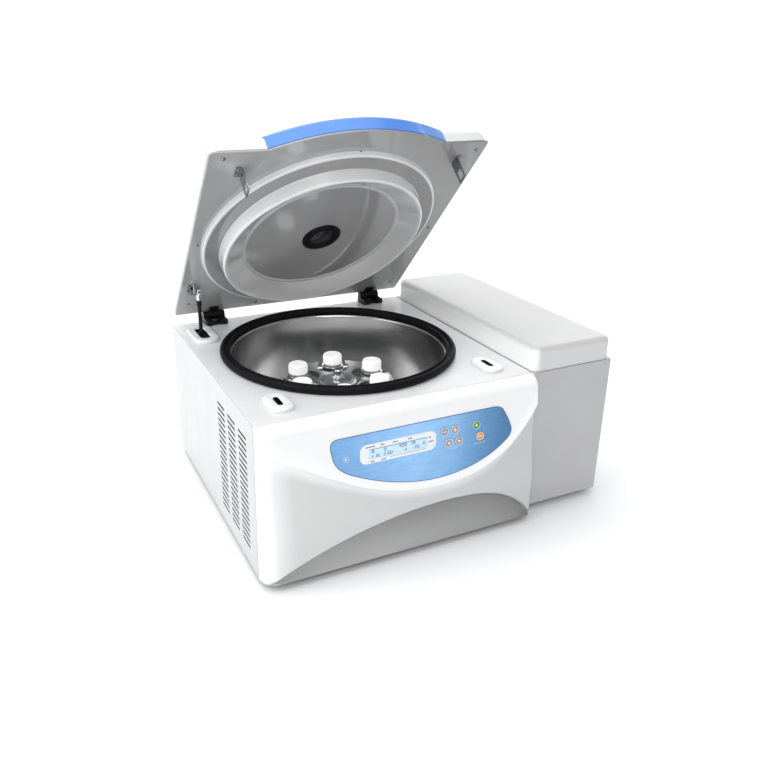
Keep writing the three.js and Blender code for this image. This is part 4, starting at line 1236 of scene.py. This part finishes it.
def digits(text, u, v, height):
    """Seven-segment numerals as raised bars, starting at (u, v)."""
    bars, stroke = [], 0.34
    width, half = height * 0.52, height / 2
    places = {
        "a": (0, height, width, height), "b": (width, half, width, height), "c": (width, 0, width, half),
        "d": (0, 0, width, 0), "e": (0, 0, 0, half), "f": (0, half, 0, height), "g": (0, half, width, half),
    }
    for letter in text:
        for segment in SEGMENTS[letter]:
            a, b, c, d = places[segment]
            bars.append(mark(u + a - stroke, v + b - stroke, u + c + stroke, v + d + stroke, LCD_TOP))
        u += width * 1.55
    return bars


def add_panel():
    window = rounded_rect(-46, 8.7, 97.4, 16.4, 0.8, 3)
    keys = [circle(u, v, KEY_RADIUS + 0.45, 40) for u, v in KEYS.values()]
    film = plate(overlay_outline(), -1, OVERLAY_TOP, [window, *keys], high=0.3, steps=3)
    piece("overlay", film, PANEL, OVERLAY, stands_for=["control_overlay"])
    inner = offset_loop(overlay_outline(), 0.9)
    edge = plate(overlay_outline(), OVERLAY_TOP - 0.1, OVERLAY_TOP + 0.05, [inner])
    piece("overlay_border", edge, PANEL, BORDER_BLUE)

    bezel = rounded_rect(-45.4, 9.6, 127, 30.8, 10.5, 12)
    bezel = plate(bezel, OVERLAY_TOP, BEZEL_TOP, [window], high=0.25, steps=3)
    piece("display_bezel", bezel, PANEL, PRINT_WHITE)
    glass = block(-94.6, 0.6, -7, 2.6, 16.8, LCD_TOP, 0.3)
    board = block(-100, -14, -8.2, 112, 32, -6.6, 0.4)
    piece("display_glass", join(glass, board), PANEL, LCD, stands_for=["display_module"])

    readings = [
        ("18", -92, 10.6, 4.2), ("4", -90, 3, 3.6), ("20", -83, 3, 3.6), ("15", -72, 10.6, 4.2),
        ("2100", -70, 2.8, 4.6), ("4200", -45, 10.6, 4.2), ("09", -24, 10.6, 4.2), ("5", -35, 2.8, 4),
        ("-03", -21, 2.8, 4.4), ("6", -4.5, 6.6, 4.8),
    ]
    bars = [bar for reading in readings for bar in digits(*reading)]
    piece("display_digits", join(*bars), PANEL, LCD_DIGIT)
    legends = [(-100, 20.6, 17), (-76, 20.8, 8), (-56, 20.8, 11), (-30, 20.8, 7), (5, 15.6, 6), (5, 8.6, 9),
               (-92, -3, 8), (-75, -3, 11)]
    dashes = []
    pitch, thin = 2.2, 0.06
    for u, v, length in legends:
        for k in range(int(length // pitch)):
            start = u + pitch * k
            dashes.append(mark(start, v - 0.9, start + 1.6, v + 0.9, BEZEL_TOP, thin))
    dashes.append(mark(-60, -1.6, 0, -1.1, BEZEL_TOP, thin))
    dashes.append(mark(-94, 15.9, 2.2, 16.6, LCD_TOP))
    piece("display_legends", join(*dashes), PANEL, PRINT_DARK)

    lamp = (-131, 8.7)
    marks = [
        plate(circle(*lamp, 4.6, 40), OVERLAY_TOP, OVERLAY_TOP + 0.12, [circle(*lamp, 3.9, 40)]),
        plate(circle(*lamp, 1.9, 30), OVERLAY_TOP, OVERLAY_TOP + 0.5, [circle(*lamp, 0.4, 12)], high=0.3),
        mark(44, -12.2, 56, -11.4, OVERLAY_TOP),
        mark(86, -13.2, 108, -12.4, OVERLAY_TOP),
    ]
    piece("panel_marks", join(*marks), PANEL, PRINT_LIGHT)


def arrow(angle, size=2.7):
    """Triangle round its middle that points right, turned by an angle in degrees."""
    points = [(1.15 * size, 0), (-0.75 * size, 0.95 * size), (-0.75 * size, -0.95 * size)]
    return turned_in_plane(points, angle)


def add_keys():
    bar = rounded_rect(0, 0, 6.4, 1.5, 0.5, 3)
    symbols = {
        "minus": [bar],
        "plus": [bar, [(y, x) for x, y in bar]],
        "left": [arrow(180)],
        "right": [arrow(0)],
        "start": [arrow(90)],
        "stop": [[(x - 2.2, y) for x, y in arrow(180, 1.7)], [(x + 2.2, y) for x, y in arrow(0, 1.7)]],
    }
    tints = {"start": KEY_GREEN, "stop": KEY_ORANGE}
    r = KEY_RADIUS
    for name, (u, v) in KEYS.items():
        place = PANEL @ at(u, v)
        body = f"key_{name}"
        cap = turned([
            (0, -4.8), (8.1, -4.8), (8.1, -3.6), (r - 0.1, -3.6), (r - 0.1, 1.0, 0.5), (r - 1.2, 1.6, 1.2),
            (3.4, 1.35, 4), (0, 1.25),
        ], 48, rounding=4)
        piece(f"{name}_key", cap, place, tints.get(name, KEY_GREY), body, [f"button_{name}"])
        ring = turned([
            (r - 1.1, 1.2), (r - 0.8, 1.9, 0.4), (r + 0.1, 1.8, 0.5), (r + 0.2, 0.7), (r - 1.1, 0.7),
        ], 48, closed=True)
        piece(f"{name}_key_rim", ring, place, KEY_RIM, body)
        signs = [plate(outline, 1.1, 1.75, high=0.15, steps=2) for outline in symbols[name]]
        piece(f"{name}_key_sign", join(*signs), place, PRINT_WHITE, body)


# -------------------- feet and carried-over nodes


def add_feet():
    for place in ("front_left", "front_right", "rear_left", "rear_right"):
        low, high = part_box(f"foot_{place}")
        middle = machine_point((low + high) / 2)
        profile, top = [(0, 0), (13.6, 0, 1)], BODY_BOTTOM - GAP
        for k in range(3):
            z, wider = 2.6 + 2.8 * k, 0.5 * k
            profile += [(15.2 + wider, z - 0.7, 0.5), (14.4 + wider, z, 0.4), (15.4 + wider, z + 0.7, 0.5)]
        profile += [(16.9, top - 0.5, 0.6), (16, top), (0, top)]
        foot = turned(profile, 48, rounding=3)
        piece(f"rubber_foot_{place}", foot, MACHINE @ at(middle.x, middle.y), RUBBER,
              stands_for=[f"foot_{place}"], sharp=50)


CARRIED = {
    **dict.fromkeys(["base_pan", "guard_vessel"], ZINC),
    **dict.fromkeys(["motor", "strut_cylinder", "condensing_unit"], BLACK_PAINT),
    **dict.fromkeys(["spindle", "latch_bolt_left", "latch_bolt_right"], CHROME),
    **dict.fromkeys(["hinge_base_left", "hinge_base_right", "hinge_leaf_left", "hinge_leaf_right", "fan",
                     "power_inlet", "power_switch"], BLACK_PLASTIC),
}


def finish_carried():
    """CAD nodes whose shape is right get softened edges and a real material."""
    for name, material in CARRIED.items():
        thing = frame["nodes"][name]
        thing.data.materials.clear()
        thing.data.materials.append(material)
        bevel = thing.modifiers.new("soft edges", "BEVEL")
        bevel.width = 0.0006
        bevel.segments = 2
        bevel.limit_method = "ANGLE"
        bevel.angle_limit = math.radians(40)
        bevel.harden_normals = True
        thing.data.shade_smooth()
        thing.data.set_sharp_from_angle(angle=math.radians(35))


def add_hinge_screws():
    """Screws that hold the hinges' noses to the deck, and a skirt behind each knuckle."""
    heads, skirts = [], []
    for name in ("hinge_base_left", "hinge_base_right"):
        low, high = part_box(name)
        a, b = machine_point(low), machine_point(high)
        heads += [screw(x, a.y + 9, BODY_TOP + 10.6, height=1.6) for x in (a.x + 5.75, b.x - 5.75)]
        middle, behind = (a.x + b.x) / 2, HINGE.y + 5.6
        skirt = block(middle - 8.6, behind, BODY_TOP + 0.6, middle + 8.6, behind + 1.7, HINGE.z - 6, 0.3)
        skirts.append(skirt)
    piece("hinge_screws", join(*heads), MACHINE, BLACK_PAINT)
    piece("hinge_skirts", join(*skirts), MACHINE, BLACK_PLASTIC)


def add_floor():
    """Pale floor that runs up into a backdrop behind the object."""
    depth, rise, bend, width = 3.2, 4.0, 1.6, 9.0
    line = [(-6.0, 0.0), (depth - bend, 0.0)]
    line += arc(depth - bend, bend, bend, -90, 0, 24)[1:]
    line.append((depth, rise))
    turn_back = Matrix.Rotation(-CAMERA_YAW, 4, "Z")
    verts, faces = [], []
    for y, z in line:
        verts += [turn_back @ Vector((-width, y, z)), turn_back @ Vector((width, y, z))]
    for k in range(len(line) - 1):
        faces.append((2 * k, 2 * k + 1, 2 * k + 3, 2 * k + 2))
    mesh = bpy.data.meshes.new("floor")
    mesh.from_pydata([tuple(v) for v in verts], [], faces)
    mesh.shade_smooth()
    mesh.materials.append(FLOOR)
    floor = bpy.data.objects.new("floor", mesh)
    link(floor)


add_camera()
add_studio()
add_floor()
add_fascia()
add_left_side()
add_deck()
add_compressor_housing()
add_rear_wall()
add_chamber()
add_rotor()
add_lid()
add_sight_port()
add_strikers()
add_strut()
add_strut_mount()
add_strut_slot()
add_latches()
add_panel()
add_keys()
add_feet()
add_screws()
add_hinge_screws()
finish_carried()
